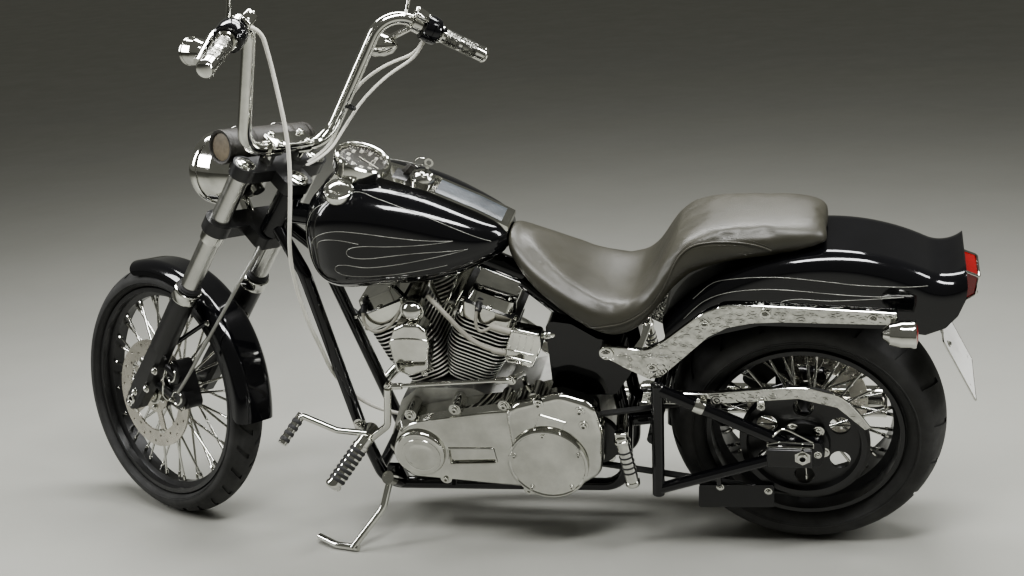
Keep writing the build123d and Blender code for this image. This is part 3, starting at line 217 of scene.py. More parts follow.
def make_finishes():
    tint = colours()
    finish("gloss_black_paint", tint.paint, (0.10, 0.16), coat=0.8, coat_rough=0.02, grain=0.05,
           grain_scale=240, patch=5, Specular_IOR_Level=0.2)
    finish("polished_chrome", (0.66, 0.66, 0.62), (0.03, 0.12), metal=1.0, tone=(0.8, 1.1), patch=14,
           grain=0.03, grain_scale=60)
    finish("engraved_chrome", (0.62, 0.62, 0.58), (0.08, 0.2), metal=1.0, tone=(0.7, 1.1), patch=30, grain=0.9,
           grain_scale=42, grain_kind="scrolls", depth=0.0006)
    finish("satin_black", (0.012, 0.012, 0.012), (0.28, 0.42), coat=0.25, coat_rough=0.2, grain=0.12,
           grain_scale=900)
    finish("fork_silver", (0.58, 0.58, 0.55), (0.16, 0.28), metal=1.0, tone=(0.85, 1.1), grain=0.08,
           grain_scale=300)
    finish("cast_alloy", (0.36, 0.36, 0.34), (0.3, 0.5), metal=1.0, grain=0.3, grain_scale=700)
    for end, tilt in BANKS:
        bright_edges(finish(end + "_fins", (0.012, 0.012, 0.012), (0.3, 0.5), grain=0.25, grain_scale=800),
            bank(tilt))
    finish("tyre_rubber", (0.022, 0.022, 0.021), (0.55, 0.8), tone=(0.7, 1.6), grain=0.35, grain_scale=500)
    finish("grip_rubber", (0.02, 0.02, 0.02), (0.45, 0.65), grain=0.25, grain_scale=700)
    finish("grip_pewter", (0.20, 0.20, 0.18), (0.16, 0.34), metal=0.9, tone=(0.35, 1.5), patch=60, grain=0.5,
           grain_scale=48, grain_kind="scrolls", depth=0.0005)
    finish("disc_steel", (0.55, 0.53, 0.48), (0.22, 0.34), metal=1.0, grain=0.15, grain_scale=500)
    finish("saddle_leather", tint.leather, (0.36, 0.5), tone=(0.85, 1.15), patch=9, grain=0.45,
           grain_scale=520, grain_kind="cells", depth=0.0006, coat=0.12, coat_rough=0.35)
    finish("roll_leather", (0.028, 0.026, 0.022), (0.38, 0.55), tone=(0.7, 1.5), grain=0.55, grain_scale=430,
           grain_kind="cells", depth=0.0007)
    finish("braided_hose", (0.30, 0.30, 0.28), (0.3, 0.45), metal=0.7, grain=0.6, grain_scale=1400,
           grain_kind="cells")
    finish("cable_sleeve", (0.62, 0.61, 0.55), (0.35, 0.5), tone=(0.85, 1.08), grain=0.15, grain_scale=900)
    finish("red_lens", (0.30, 0.01, 0.01), (0.05, 0.1), Transmission_Weight=0.35, coat=0.6)
    finish("smoked_lens", (0.32, 0.32, 0.30), (0.04, 0.08), Transmission_Weight=0.8, coat=0.5)
    finish("plate_white", (0.72, 0.72, 0.69), (0.3, 0.4), tone=(0.92, 1.04), grain=0.05, grain_scale=80)
    finish("stripe_silver", (0.34, 0.34, 0.31), (0.3, 0.45), metal=0.3, tone=(0.4, 1.3), patch=16)
    finish("roll_tan", (0.16, 0.13, 0.085), (0.4, 0.6), tone=(0.6, 1.3), patch=40, grain=0.4, grain_scale=430,
           grain_kind="cells")
    finish("lead_grey", (0.30, 0.29, 0.25), (0.4, 0.6), grain=0.2, grain_scale=900)
    finish("dial_olive", (0.022, 0.020, 0.015), (0.3, 0.45), tone=(0.8, 1.25), patch=30)
    finish("dial_white", (0.80, 0.78, 0.68), (0.4, 0.5), tone=(0.95, 1.03))
    finish("clear_glass", (0.02, 0.02, 0.02), (0.0, 0.02), tone=(1, 1), Alpha=0.08, Specular_IOR_Level=0.1)
    finish("fluted_glass", (0.85, 0.86, 0.86), (0.02, 0.06), tone=(0.96, 1.0), grain=0.5, grain_scale=55,
           grain_kind="brushed", depth=0.002, Transmission_Weight=0.85, IOR=1.4)
    finish("mirror_glass", (0.85, 0.86, 0.86), (0.0, 0.02), metal=1.0, tone=(0.98, 1.0))
    finish("console_leather", (0.045, 0.052, 0.058), (0.3, 0.5), tone=(0.5, 1.5), patch=16, grain=0.4,
           grain_scale=420, grain_kind="cells", coat=0.2, coat_rough=0.3)


# The crank's line, each cylinder's lean from upright, and how far from its axis the fins' rims begin
CRANK = Vector((865, 0, 330)) * MM
BANKS = (("front", 22.5), ("rear", -22.5))
FIN_EDGE = 0.056


def bank(tilt):
    """The place of a cylinder on the upright machine: its foot on the crank's line, Z up its barrel."""
    return Matrix.Translation(CRANK) @ Matrix.Rotation(math.radians(tilt), 4, "Y")


def bright_edges(material, place):
    """Machined bright rims on black fins: faces far from the barrel's axis that turn away from it."""
    tree = material.node_tree
    link = tree.links.new
    shader = tree.nodes["Principled BSDF"]
    foot, up = MACHINE @ place.translation, ((MACHINE @ place).to_3x3() @ Vector((0, 0, 1))).normalized()
    where, facing = node(tree, "ShaderNodeTexCoord"), node(tree, "ShaderNodeNewGeometry")

    def vector(kind, a, b, out="Vector"):
        made = node(tree, "ShaderNodeVectorMath")
        made.operation = kind
        for socket, value in zip(made.inputs, (a, b)):
            if isinstance(value, Vector):
                socket.default_value = value
            elif value is not None:
                link(value, socket)
        return made.outputs[out]

    away = vector("CROSS_PRODUCT", vector("SUBTRACT", where.outputs["Object"], foot), up)
    reach = vector("LENGTH", away, None, "Value")
    flat = maths(tree, "ABSOLUTE", vector("DOT_PRODUCT", facing.outputs["Normal"], up, "Value"))
    rim = maths(tree, "MULTIPLY", remapped(tree, reach, FIN_EDGE, FIN_EDGE + 0.003), remapped(tree, flat, 0.5, 0.3))
    mix = node(tree, "ShaderNodeMix")
    mix.data_type = "RGBA"
    link(rim, mix.inputs["Factor"])
    link(tree.nodes["Color Ramp"].outputs["Color"], mix.inputs[6])
    mix.inputs[7].default_value = (0.72, 0.72, 0.69, 1)
    link(mix.outputs[2], shader.inputs["Base Color"])
    link(rim, shader.inputs["Metallic"])


# Which finish each frame node wears; the cylinders' finishes are set face by face below.
WORN = {"gloss_black_paint": ("fuel_tank", "rear_fender", "front_fender", "oil_tank", "frame", "swingarm"),
    "engraved_chrome": ("belt_guards", "fender_struts"), "polished_chrome": ("clutch_cover", "primary_cover",
    "rocker_boxes", "left_side_covers", "tank_trim", "handlebar", "headlamp", "mirrors", "front_signals",
    "rear_signals", "levers", "side_stand", "front_spokes", "rear_spokes", "exhausts", "air_cleaner", "foot_controls",
    "grips", "rear_axle", "front_axle"), "satin_black": ("front_rim_hub", "rear_rim_hub", "rear_pulley",
    "front_caliper", "rear_caliper", "switch_housings", "gearbox_pulley", "fork_sliders", "triple_trees"),
    "fork_silver": ("fork_tubes",), "cast_alloy": ("engine_case",),
    "tyre_rubber": ("front_tyre", "rear_tyre", "drive_belt"), "disc_steel": ("front_disc", "rear_disc"),
    "saddle_leather": ("seat",), "roll_leather": ("tool_roll",), "braided_hose": ("brake_hose",),
    "cable_sleeve": ("clutch_cable", "throttle_cables"), "red_lens": ("tail_lamp",), "plate_white": ("number_plate",),
    }


class CRUISER_OT_finishes(bpy.types.Operator):
    """Makes the finishes and puts them on the frame's nodes"""
    bl_idname = "cruiser.finishes"
    bl_label = "Finishes"

    def execute(self, context):
        make_finishes()
        for name, nodes in WORN.items():
            for n in nodes:
                for slot in NODES[n].material_slots:
                    slot.material = FINISHES[name]
        barrels = NODES["cylinders"].data
        middle = MACHINE.inverted()
        barrels.materials.clear()
        for end, _ in BANKS:
            barrels.materials.append(FINISHES[end + "_fins"])
        for face in barrels.polygons:
            face.material_index = 0 if (middle @ face.center).x > CRANK.x else 1
        return {"FINISHED"}


# ---------------------------------------------------------------- modelling by hand, in code

def alone(obj):
    """Makes obj the one selected object, out of edit mode."""
    if bpy.context.object and bpy.context.object.mode != "OBJECT":
        bpy.ops.object.mode_set(mode="OBJECT")
    bpy.ops.object.select_all(action="DESELECT")
    obj.select_set(True)
    bpy.context.view_layer.objects.active = obj
    return obj


def baked():
    """Writes the active piece's place into its mesh."""
    bpy.ops.object.transform_apply(location=True, rotation=True, scale=True)


def clear():
    if bpy.context.object and bpy.context.object.mode != "OBJECT":
        bpy.ops.object.mode_set(mode="OBJECT")
    bpy.ops.object.select_all(action="DESELECT")


def edit(kind="FACE"):
    bpy.ops.object.mode_set(mode="EDIT")
    bpy.ops.mesh.select_mode(type=kind)


def pick(test):
    """In edit mode, selects the faces whose middle and normal pass the test; gives how many."""
    bpy.ops.mesh.select_all(action="DESELECT")
    mesh = bmesh.from_edit_mesh(bpy.context.object.data)
    mesh.faces.ensure_lookup_table()
    chosen = [f for f in mesh.faces if test(f.calc_center_median(), f.normal)]
    for f in chosen:
        f.select_set(True)
    bmesh.update_edit_mesh(bpy.context.object.data)
    return len(chosen)


def turned(name, outline, steps=48, ring=False):
    """A piece spun about its Y axis from (radius, y) points; a ring's outline closes on itself."""
    clear()
    bpy.ops.mesh.primitive_plane_add(size=0.01)
    obj = bpy.context.object
    obj.name = name
    edit("VERT")
    bpy.ops.mesh.select_all(action="SELECT")
    bpy.ops.mesh.merge(type="CENTER")
    bpy.ops.transform.translate(value=(*outline[0], 0))
    for a, b in zip(outline, outline[1:]):
        bpy.ops.mesh.extrude_region_move(TRANSFORM_OT_translate={"value": (b[0] - a[0], b[1] - a[1], 0)})
    if ring:
        mesh = bmesh.from_edit_mesh(obj.data)
        for v in mesh.verts:
            v.select_set(len(v.link_edges) < 2)
        bmesh.update_edit_mesh(obj.data)
        bpy.ops.mesh.edge_face_add()
    bpy.ops.mesh.select_all(action="SELECT")
    bpy.ops.mesh.spin(steps=steps, angle=2 * math.pi, center=(0, 0, 0), axis=(0, 1, 0))
    bpy.ops.mesh.select_all(action="SELECT")
    bpy.ops.mesh.remove_doubles(threshold=1e-6)
    bpy.ops.mesh.normals_make_consistent(inside=False)
    bpy.ops.object.mode_set(mode="OBJECT")
    return obj


def lofted(name, rings):
    """A closed skin through rings of points: a disc extruded from ring to ring and set on each."""
    clear()
    count = len(rings[0])
    bpy.ops.mesh.primitive_circle_add(vertices=count, radius=1, fill_type="NGON")
    obj = bpy.context.object
    obj.name = name
    before = [v.co.copy() for v in obj.data.vertices]
    edit()
    bpy.ops.mesh.select_all(action="SELECT")
    for k, ring in enumerate(rings):
        if k:
            bpy.ops.mesh.extrude_region_move()
        mesh = bmesh.from_edit_mesh(obj.data)
        for v in [v for v in mesh.verts if v.select]:
            near = min(range(count), key=lambda i: (before[i] - v.co).length_squared)
            v.co = ring[near]
        bmesh.update_edit_mesh(obj.data)
        before = [Vector(p) for p in ring]
    bpy.ops.mesh.select_all(action="SELECT")
    bpy.ops.mesh.normals_make_consistent(inside=False)
    bpy.ops.object.mode_set(mode="OBJECT")
    return obj


def cylinder(name, a, b, radius, sides=24, bevel=0.0):
    """A round bar from a to b with its end edges bevelled."""
    clear()
    a, b = Vector(a), Vector(b)
    bpy.ops.mesh.primitive_cylinder_add(vertices=sides, radius=radius, depth=(b - a).length)
    obj = bpy.context.object
    obj.name = name
    if bevel:
        edit()
        pick(lambda c, n: abs(n.z) > 0.9)
        bpy.ops.mesh.bevel(offset=bevel, segments=2, affect="EDGES")
        bpy.ops.object.mode_set(mode="OBJECT")
    obj.matrix_world = Matrix.Translation((a + b) / 2) @ (b - a).to_track_quat("Z", "Y").to_matrix().to_4x4()
    baked()
    return obj


def wire(name, points, radius, level=3, smooth=True):
    """A round wire along a smooth line through its control points, as a mesh."""
    clear()
    curve = bpy.data.curves.new(name, "CURVE")
    curve.dimensions = "3D"
    spline = curve.splines.new("NURBS")
    spline.points.add(len(points) - 1)
    for p, co in zip(spline.points, points):
        p.co = (*co, 1)
    spline.order_u = 3 if smooth else 2
    spline.use_endpoint_u = True
    spline.resolution_u = 6
    curve.bevel_depth, curve.bevel_resolution, curve.use_fill_caps = radius, level, True
    obj = bpy.data.objects.new(name, curve)
    bpy.context.scene.collection.objects.link(obj)
    alone(obj)
    bpy.ops.object.convert(target="MESH")
    return bpy.context.object


def merged(name, parts):
    """Joins pieces into the first of them."""
    clear()
    for p in parts:
        p.select_set(True)
    bpy.context.view_layer.objects.active = parts[0]
    if len(parts) > 1:
        bpy.ops.object.join()
    made = bpy.context.object
    made.name = name
    return made


def copies(model, places):
    """Copies of a piece, each with its own mesh, one at each matrix; the model is removed."""
    made = []
    for place in places:
        twin = model.copy()
        twin.data = model.data.copy()
        bpy.context.scene.collection.objects.link(twin)
        twin.matrix_world = place @ model.matrix_world
        made.append(twin)
    bpy.data.objects.remove(model)
    return made


def settle(obj, place, body, wears, angle=35):
    """Applies a piece's modifiers, sets its mesh in the row frame and gives it a body and a finish."""
    alone(obj)
    for modifier in list(obj.modifiers):
        bpy.ops.object.modifier_apply(modifier=modifier.name)
    obj.matrix_world = place @ obj.matrix_world
    baked()
    obj.data.materials.clear()
    obj.data.materials.append(FINISHES[wears])
    bpy.ops.object.shade_smooth_by_angle(angle=math.radians(angle))
    if body:
        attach(obj, body)
    return obj


def arc(a, m, b, count):
    """Points along the circle through three (x, y) points."""
    ax, ay, bx, by, cx, cy = *a, *m, *b
    d = 2 * (ax * (by - cy) + bx * (cy - ay) + cx * (ay - by))
    ux = ((ax**2 + ay**2) * (by - cy) + (bx**2 + by**2) * (cy - ay) + (cx**2 + cy**2) * (ay - by)) / d
    uy = ((ax**2 + ay**2) * (cx - bx) + (bx**2 + by**2) * (ax - cx) + (cx**2 + cy**2) * (bx - ax)) / d
    r = math.hypot(ax - ux, ay - uy)
    start, mid, end = (math.atan2(y - uy, x - ux) for x, y in (a, m, b))
    mid = start + (mid - start + math.pi) % (2 * math.pi) - math.pi
    end = mid + (end - mid + math.pi) % (2 * math.pi) - math.pi
    return [(ux + r * math.cos(start + (end - start) * k / count), uy
        + r * math.sin(start + (end - start) * k / count)) for k in range(count + 1)]


def smooth_rows(rows, steps):
    """Rows of numbers with smooth rows between them, by a Catmull-Rom line through each column."""
    out = []
    for i in range(len(rows) - 1):
        p = [rows[max(0, min(len(rows) - 1, i + k))] for k in (-1, 0, 1, 2)]
        for s in range(steps):
            t = s / steps
            out.append([0.5 * (2 * b + (c - a) * t + (2 * a - 5 * b + 4 * c - d) * t * t
                + (3 * b - a - 3 * c + d) * t ** 3) for a, b, c, d in zip(*p)])
    return out + [list(rows[-1])]


# ---------------------------------------------------------------- tyres

# name, body, radius, half width, half width and drop of the crown, the rim's radius and half width,
# thickness, columns of faces round it, columns from groove to groove
TYRES = (("front_treaded", "front_wheel", 340, 50, 43, 22, 284, 33, 7, 300, 10),
         ("rear_treaded", "rear_wheel", 326, 100, 90, 30, 232, 81, 12, 288, 16))
WALL_RINGS = (5, 8)


def tyre(name, body, radius, half, crown_half, drop, rim_radius, rim_half, wall, columns, period):
    """A tyre with slanting tread grooves cut into its crown and thin rings on its walls."""
    bead = ((rim_radius + 3), rim_half - 5.3)
    shoulder = (radius - drop, crown_half)
    belly = ((bead[0] + shoulder[0]) / 2, half)
    side = arc(bead, belly, shoulder, 12)
    for k in WALL_RINGS:
        (r0, y0), (r1, y1) = side[k], side[k + 1]
        side[k:k + 2] = [(r0, y0), (r0 + (r1 - r0) * 0.2, y0 + 1.2), (r0 + (r1 - r0) * 0.5, y1 + 1.2),
            (r0 + (r1 - r0) * 0.7, y1)]
    crown = arc(shoulder, (radius, 0), (shoulder[0], -shoulder[1]), 16)
    outer = [(r, y) for r, y in side[:-1]] + crown + [(r, -y) for r, y in reversed(side[:-1])]
    seat = (rim_radius - 7.7, rim_half - 5.3)
    inner = [(seat[0], -seat[1]), (seat[0], -seat[1] + wall), (bead[0] + wall, -bead[1] + wall),
             (belly[0], -half + wall), (shoulder[0] - wall, -crown_half + wall), (radius - wall, 0)]
    inner += [(r, -y) for r, y in reversed(inner[:-1])]
    outline = [(r * MM, y * MM) for r, y in outer + inner]
    obj = turned(name, outline, columns, ring=True)
    reach, turn = (crown_half - 1) * MM, 2 * math.pi / columns
    edge = (shoulder[0] - 2) * MM

    def slant(y):
        return math.copysign(min(1, abs(y) / reach) ** 1.3, y) * (5.2 if y > 0 else -5.2) * turn

    edit()
    mesh = bmesh.from_edit_mesh(obj.data)
    for v in mesh.verts:
        if math.hypot(v.co.x, v.co.z) > edge:
            v.co = Matrix.Rotation(slant(v.co.y), 3, "Y") @ v.co
    bmesh.update_edit_mesh(obj.data)

    def groove(c, n):
        out = math.hypot(c.x, c.z)
        if out < edge or n.x * c.x + n.z * c.z < 0.3 * out:
            return False
        column = round((math.atan2(-c.z, c.x) - slant(c.y)) / turn - 0.5) % period
        across = abs(c.y) / reach
        first = 0 if c.y > 0 else period // 2
        return column in (first, first + 1) and 0.22 < across < 0.97
    pick(groove)
    bpy.ops.mesh.extrude_region_shrink_fatten(TRANSFORM_OT_shrink_fatten={"value": -sizes().groove})
    bpy.ops.object.mode_set(mode="OBJECT")
    settle(obj, HOMES[body], body, "tyre_rubber", 30)
    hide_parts(name.replace("treaded", "tyre"))


class CRUISER_OT_tyres(bpy.types.Operator):
    """Both tyres, with tread grooves and wall rings"""
    bl_idname = "cruiser.tyres"
    bl_label = "Tyres"

    def execute(self, context):
        for row in TYRES:
            tyre(*row)
        return {"FINISHED"}


# ---------------------------------------------------------------- saddle and tool roll

# The saddle's sections: x, half width, bottom, top, how far the middle dips, how square the top is
SADDLE = ((668, 44, 800, 842, 0, 2.2), (655, 72, 776, 840, 0, 2.4), (610, 112, 722, 808, 3, 2.6),
          (550, 140, 672, 768, 9, 3.0), (490, 154, 628, 734, 15, 3.2), (430, 160, 602, 714, 18, 3.4),
          (375, 158, 622, 718, 16, 3.4), (335, 150, 668, 750, 10, 3.2), (300, 142, 712, 800, 5, 3.4),
          (268, 134, 742, 842, 2, 4.2), (235, 128, 764, 862, 0, 4.6), (160, 122, 786, 872, -2, 4.4),
          (60, 115, 802, 873, -3, 4.2), (-10, 106, 810, 870, -2, 3.8), (-48, 88, 816, 862, 0, 3.2),
          (-58, 66, 822, 850, 0, 2.4))
SEAM_SIDE = ((500, 634), (480, 648), (440, 658), (395, 667), (352, 690), (322, 718), (294, 762), (266, 818),
    (232, 846), (181, 853), (127, 851), (86, 842), (62, 830))


def saddle_rings():
    rings = []
    for x, half, low, high, dip, square in smooth_rows(SADDLE, 3):
        ring = []
        middle = low + (high - low) * 0.48
        for k in range(48):
            t = 2 * math.pi * k / 48
            c, s = math.cos(t), math.sin(t)
            power = 2 / (square if s > 0 else 2.6)
            y = half * math.copysign(abs(c) ** power, c)
            z = math.copysign(abs(s) ** power, s)
            if s < 0:
                y *= 1 - 0.10 * abs(s)
            z = middle + z * ((high - middle) if s > 0 else (middle - low))
            if s > 0:
                z -= dip * max(0, 1 - (y / half) ** 2) ** 1.5
            ring.append((x * MM, y * MM, z * MM))
        rings.append(ring)
    return rings


def plumped(obj, cap):
    """Swells a closed skin as a stretched cover does: voxel skin, cloth under pressure, capped."""
    alone(obj)
    obj.data.remesh_voxel_size = sizes().voxel
    bpy.ops.object.voxel_remesh()
    before = [v.co.copy() for v in obj.data.vertices]
    cover = obj.modifiers.new("cover", "CLOTH")
    cover.settings.use_pressure = True
    cover.settings.uniform_pressure_force = 4
    cover.settings.effector_weights.gravity = 0
    cover.settings.quality = 4
    scene = bpy.context.scene
    for f in range(1, 17):
        scene.frame_set(f)
    alone(obj)
    bpy.ops.object.modifier_apply(modifier="cover")
    scene.frame_set(1)
    for v, old in zip(obj.data.vertices, before):
        move = v.co - old
        if move.length > cap:
            v.co = old + move * (cap / move.length)
    relax = obj.modifiers.new("relax", "SMOOTH")
    relax.factor, relax.iterations = 0.5, 6
    bpy.ops.object.modifier_apply(modifier="relax")
    return obj


def skin_of(obj):
    """A search tree of a piece's faces, in its own space."""
    return BVHTree.FromObject(obj, bpy.context.evaluated_depsgraph_get())


def dropped(tree, points, way, lift=0.0):
    """Points moved along a direction onto a skin, then lifted off it along its normal."""
    out = []
    for p in points:
        hit, normal, _, _ = tree.ray_cast(Vector(p) - Vector(way) * 0.6, Vector(way))
        if hit is not None:
            out.append(hit + normal * lift)
    return out


class CRUISER_OT_saddle(bpy.types.Operator):
    """The two-up saddle, swelled by a short cloth simulation, with its welted seams"""
    bl_idname = "cruiser.saddle"
    bl_label = "Saddle"

    def execute(self, context):
        saddle = lofted("saddle", saddle_rings())
        alone(saddle)
        smoother = saddle.modifiers.new("smoother", "SUBSURF")
        smoother.levels = smoother.render_levels = 1
        bpy.ops.object.modifier_apply(modifier="smoother")
        plumped(saddle, sizes().plump)
        tree = skin_of(saddle)
        welts = []
        for side in (1, -1):
            line = [(x * MM, side * 0.05, z * MM) for x, z in smooth_rows(SEAM_SIDE, 3)]
            line = dropped(tree, line, (0, -side, 0), 0.0006)
            welts.append(wire("welt", line, 0.0022))
            for shift in (0.007, -0.007):
                thread = [(x * MM, side * 0.05, z * MM + shift) for x, z in smooth_rows(SEAM_SIDE, 10)]
                thread = dropped(tree, thread, (0, -side, 0), 0.0003)
                for k in range(0, len(thread) - 1, 2):
                    welts.append(cylinder("stitch", thread[k], thread[k + 1], 0.0006, 6))
        seams = merged("saddle_seams", welts)
        settle(saddle, MACHINE, "chassis", "saddle_leather", 60)
        settle(seams, MACHINE, "chassis", "saddle_leather", 60)
        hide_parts("seat")
        return {"FINISHED"}


class CRUISER_OT_roll(bpy.types.Operator):
    """The leather tool roll over the headlamp, with rimmed ends, straps and buckles"""
    bl_idname = "cruiser.roll"
    bl_label = "Tool roll"

    def execute(self, context):
        rings = []
        for y, r in smooth_rows(((-127, 36), (-124, 40), (-112, 41.2), (-60, 41.6), (0, 41), (60, 41.6), (112, 41.2),
                                 (124, 40), (127, 36)), 3):
            ring = []
            for k in range(40):
                t = 2 * math.pi * k / 40
                pull = 1 + 0.03 * math.cos(t) ** 2 * math.copysign(1, math.cos(t))
                ring.append((r * pull * math.cos(t) * MM, y * MM, r * math.sin(t) * MM))
            rings.append(ring)
        roll = lofted("leather_roll", rings)
        plumped(roll, 0.002)
        caps, faces = [], []
        for side in (1, -1):
            rim = turned("rim", [(r * MM, side * y * MM) for r, y in ((33, 125), (33, 131), (36, 134.5), (41, 134.5),
                (42, 131), (42, 124), (38, 122))], 40, True)
            face = turned("face", [(r * MM, side * y * MM) for r, y in ((0, 130), (20, 130.5), (34, 129), (34, 124),
                (0, 124))], 40)
            caps.append(rim)
            faces.append(face)
        belt = ((41, -11), (44.4, -11), (45.2, -9), (45.2, 9), (44.4, 11), (41, 11))
        straps = [turned("band", [(r * MM, (y + w) * MM) for r, w in belt], 40, True) for y in (-62, 62)]
        ends, discs = merged("roll_ends_straps", caps + straps), merged("roll_end_faces", faces)
        buckles = []
        for y in (-62, 62):
            clear()
            bpy.ops.mesh.primitive_torus_add(major_radius=0.013, minor_radius=0.0017, major_segments=24,
                minor_segments=8, location=(0.0475, y * MM, 0.004), rotation=(0, math.pi / 2, 0))
            ring = bpy.context.object
            baked()
            pin = cylinder("pin", (0.0475, y * MM, 0.017), (0.0475, y * MM, -0.010), 0.0014, 8)
            buckles += [ring, pin]
        metal = merged("roll_buckles", buckles)
        low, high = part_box("tool_roll")
        place = FORK.copy()
        place.translation = (low + high) / 2
        for obj, wears in ((roll, "roll_leather"), (ends, "roll_leather"), (discs, "roll_tan"),
            (metal, "polished_chrome")):
            settle(obj, place, "fork", wears, 50)
        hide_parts("tool_roll")
        return {"FINISHED"}


# ---------------------------------------------------------------- small parts

# Ways in a piece's own axes
TO_LEFT, TO_RIGHT, TO_TOP = (0, 1, 0), (0, -1, 0), (0, 0, 1)


def mm(points):
    return [tuple(c * MM for c in p) for p in points]


def at(point, way=TO_TOP, turn=0.0):
    """A matrix at a point in millimetres whose Z points along a direction, turned about it."""
    aim = Vector(way).to_track_quat("Z", "Y").to_matrix().to_4x4()
    return Matrix.Translation(Vector(point) * MM) @ aim @ Matrix.Rotation(turn, 4, "Z")


def dressed(name, parts, body, wears="polished_chrome", angle=35, place=None):
    """Joins parts into a piece and sets it on its body, in the body's own axes unless a place is given."""
    return settle(merged(name, parts), place or HOMES[body], body, wears, angle)


def bar(a, b, radius, sides=20, bevel=1.0):
    """A round bar between two points in millimetres."""
    return cylinder("bar", *mm((a, b)), radius * MM, sides, bevel * MM)


def spun(a, way, outline, steps, ring):
    """A piece turned about a line from point a, from (radius, along) points in millimetres."""
    obj = turned("spun", mm(outline), steps, ring)
    obj.matrix_world = at(a, way) @ Matrix.Rotation(math.pi / 2, 4, "X")
    baked()
    return obj


def collar(a, way, outline, steps=40):
    """A turned ring, whose outline closes on itself."""
    return spun(a, way, outline, steps, True)


def dome(a, way, outline, steps=32):
    """A solid of revolution, whose outline starts and ends on the line."""
    return spun(a, way, outline, steps, False)


def block(middle, size, way=TO_TOP, turn=0.0, bevel=2.0):
    """A box with rounded edges, in millimetres, its height along a direction."""
    clear()
    bpy.ops.mesh.primitive_cube_add(size=1)
    obj = bpy.context.object
    obj.scale = Vector(size) * MM
    bpy.ops.object.transform_apply(location=False, rotation=False, scale=True)
    edit("EDGE")
    bpy.ops.mesh.select_all(action="SELECT")
    bpy.ops.mesh.bevel(offset=bevel * MM, segments=3, affect="EDGES")
    bpy.ops.object.mode_set(mode="OBJECT")
    obj.matrix_world = at(middle, way, turn)
    baked()
    return obj


def rounded_corners(obj, radius):
    """Draws in the upright corners of a flat block round its middle."""
    half = Vector((max(v.co.x for v in obj.data.vertices), max(v.co.y for v in obj.data.vertices)))
    for v in obj.data.vertices:
        dx, dy = abs(v.co.x) - (half.x - radius), abs(v.co.y) - (half.y - radius)
        if dx > 0 and dy > 0:
            k = radius / max(math.hypot(dx, dy), radius * 0.999)
            v.co.x = math.copysign(half.x - radius + dx * k, v.co.x)
            v.co.y = math.copysign(half.y - radius + dy * k, v.co.y)
    return obj


def loop(points, radius, level=2):
    """A closed wire with tight corners through points in millimetres."""
    points = [Vector(p) for p in points]
    soft = []
    for before, corner, after in zip(points[-1:] + points[:-1], points, points[1:] + points[:1]):
        reach = min(9, 0.3 * min((before - corner).length, (after - corner).length))
        soft += [corner + (before - corner).normalized() * reach, corner,
            corner + (after - corner).normalized() * reach]
    middle = (soft[-1] + soft[0]) / 2
    return wire("loop", mm([middle] + soft + [middle]), radius * MM, level)


def bolt(kind, radius, height):
    """A bolt head on its washer, standing up from the origin, in millimetres: flat, socket or acorn."""
    r, h = radius * MM, height * MM
    head = cylinder("head", (0, 0, 0), (0, 0, h), r, 18 if kind == "socket" else 6, r * 0.12)
    if kind != "flat":
        edit()
        pick(lambda c, n: n.z > 0.99 and c.z > h * 0.99)
        if kind == "socket":
            bpy.ops.mesh.inset(thickness=r * 0.36)
            bpy.ops.mesh.extrude_region_move(TRANSFORM_OT_translate={"value": (0, 0, -h * 0.55)})
        else:
            for inward, up in ((0.16, 0.22), (0.22, 0.16), (0.26, 0.07)):
                bpy.ops.mesh.inset(thickness=r * inward)
                bpy.ops.transform.translate(value=(0, 0, h * up))
        bpy.ops.object.mode_set(mode="OBJECT")
    washer = cylinder("washer", (0, 0, 0), (0, 0, r * 0.24), r * 1.38, 22, r * 0.08)
    return merged("bolt", [head, washer])


def heads(rows):
    """Bolt heads from rows of kind, radius, height, the way that they face, and their places."""
    made = []
    for kind, radius, height, way, places in rows:
        made += copies(bolt(kind, radius, height), [at(p, way, 0.4 * k) for k, p in enumerate(places)])
    return made


def around(count, radius, y, start=0.0, middle=(0, 0)):
    """Places on a circle in the XZ plane."""
    turns = [math.radians(start + 360 * k / count) for k in range(count)]
    return [(middle[0] + radius * math.cos(t), y, middle[1] + radius * math.sin(t)) for t in turns]


# ---------------------------------------------------------------- wheels

SPOKES, LACING = 40, math.radians(15)


def nipples(rim_radius, flange_y):
    """The threaded sleeves where the spokes meet the rim."""
    places = []
    for i in range(SPOKES):
        side, lean = (1 if i % 2 else -1), (1 if (i // 2) % 2 else -1)
        out = math.tau * i / SPOKES
        hub = Vector((41 * math.cos(out + lean * LACING), side * flange_y + 3 * lean,
            41 * math.sin(out + lean * LACING)))
        rim = Vector(((rim_radius - 25) * math.cos(out), side * 6, (rim_radius - 25) * math.sin(out)))
        places.append(at(rim, hub - rim))
    sleeve = cylinder("sleeve", (0, 0, 0), (0, 0, 0.020), 0.0046, 8, 0.0008)
    return copies(sleeve, places)


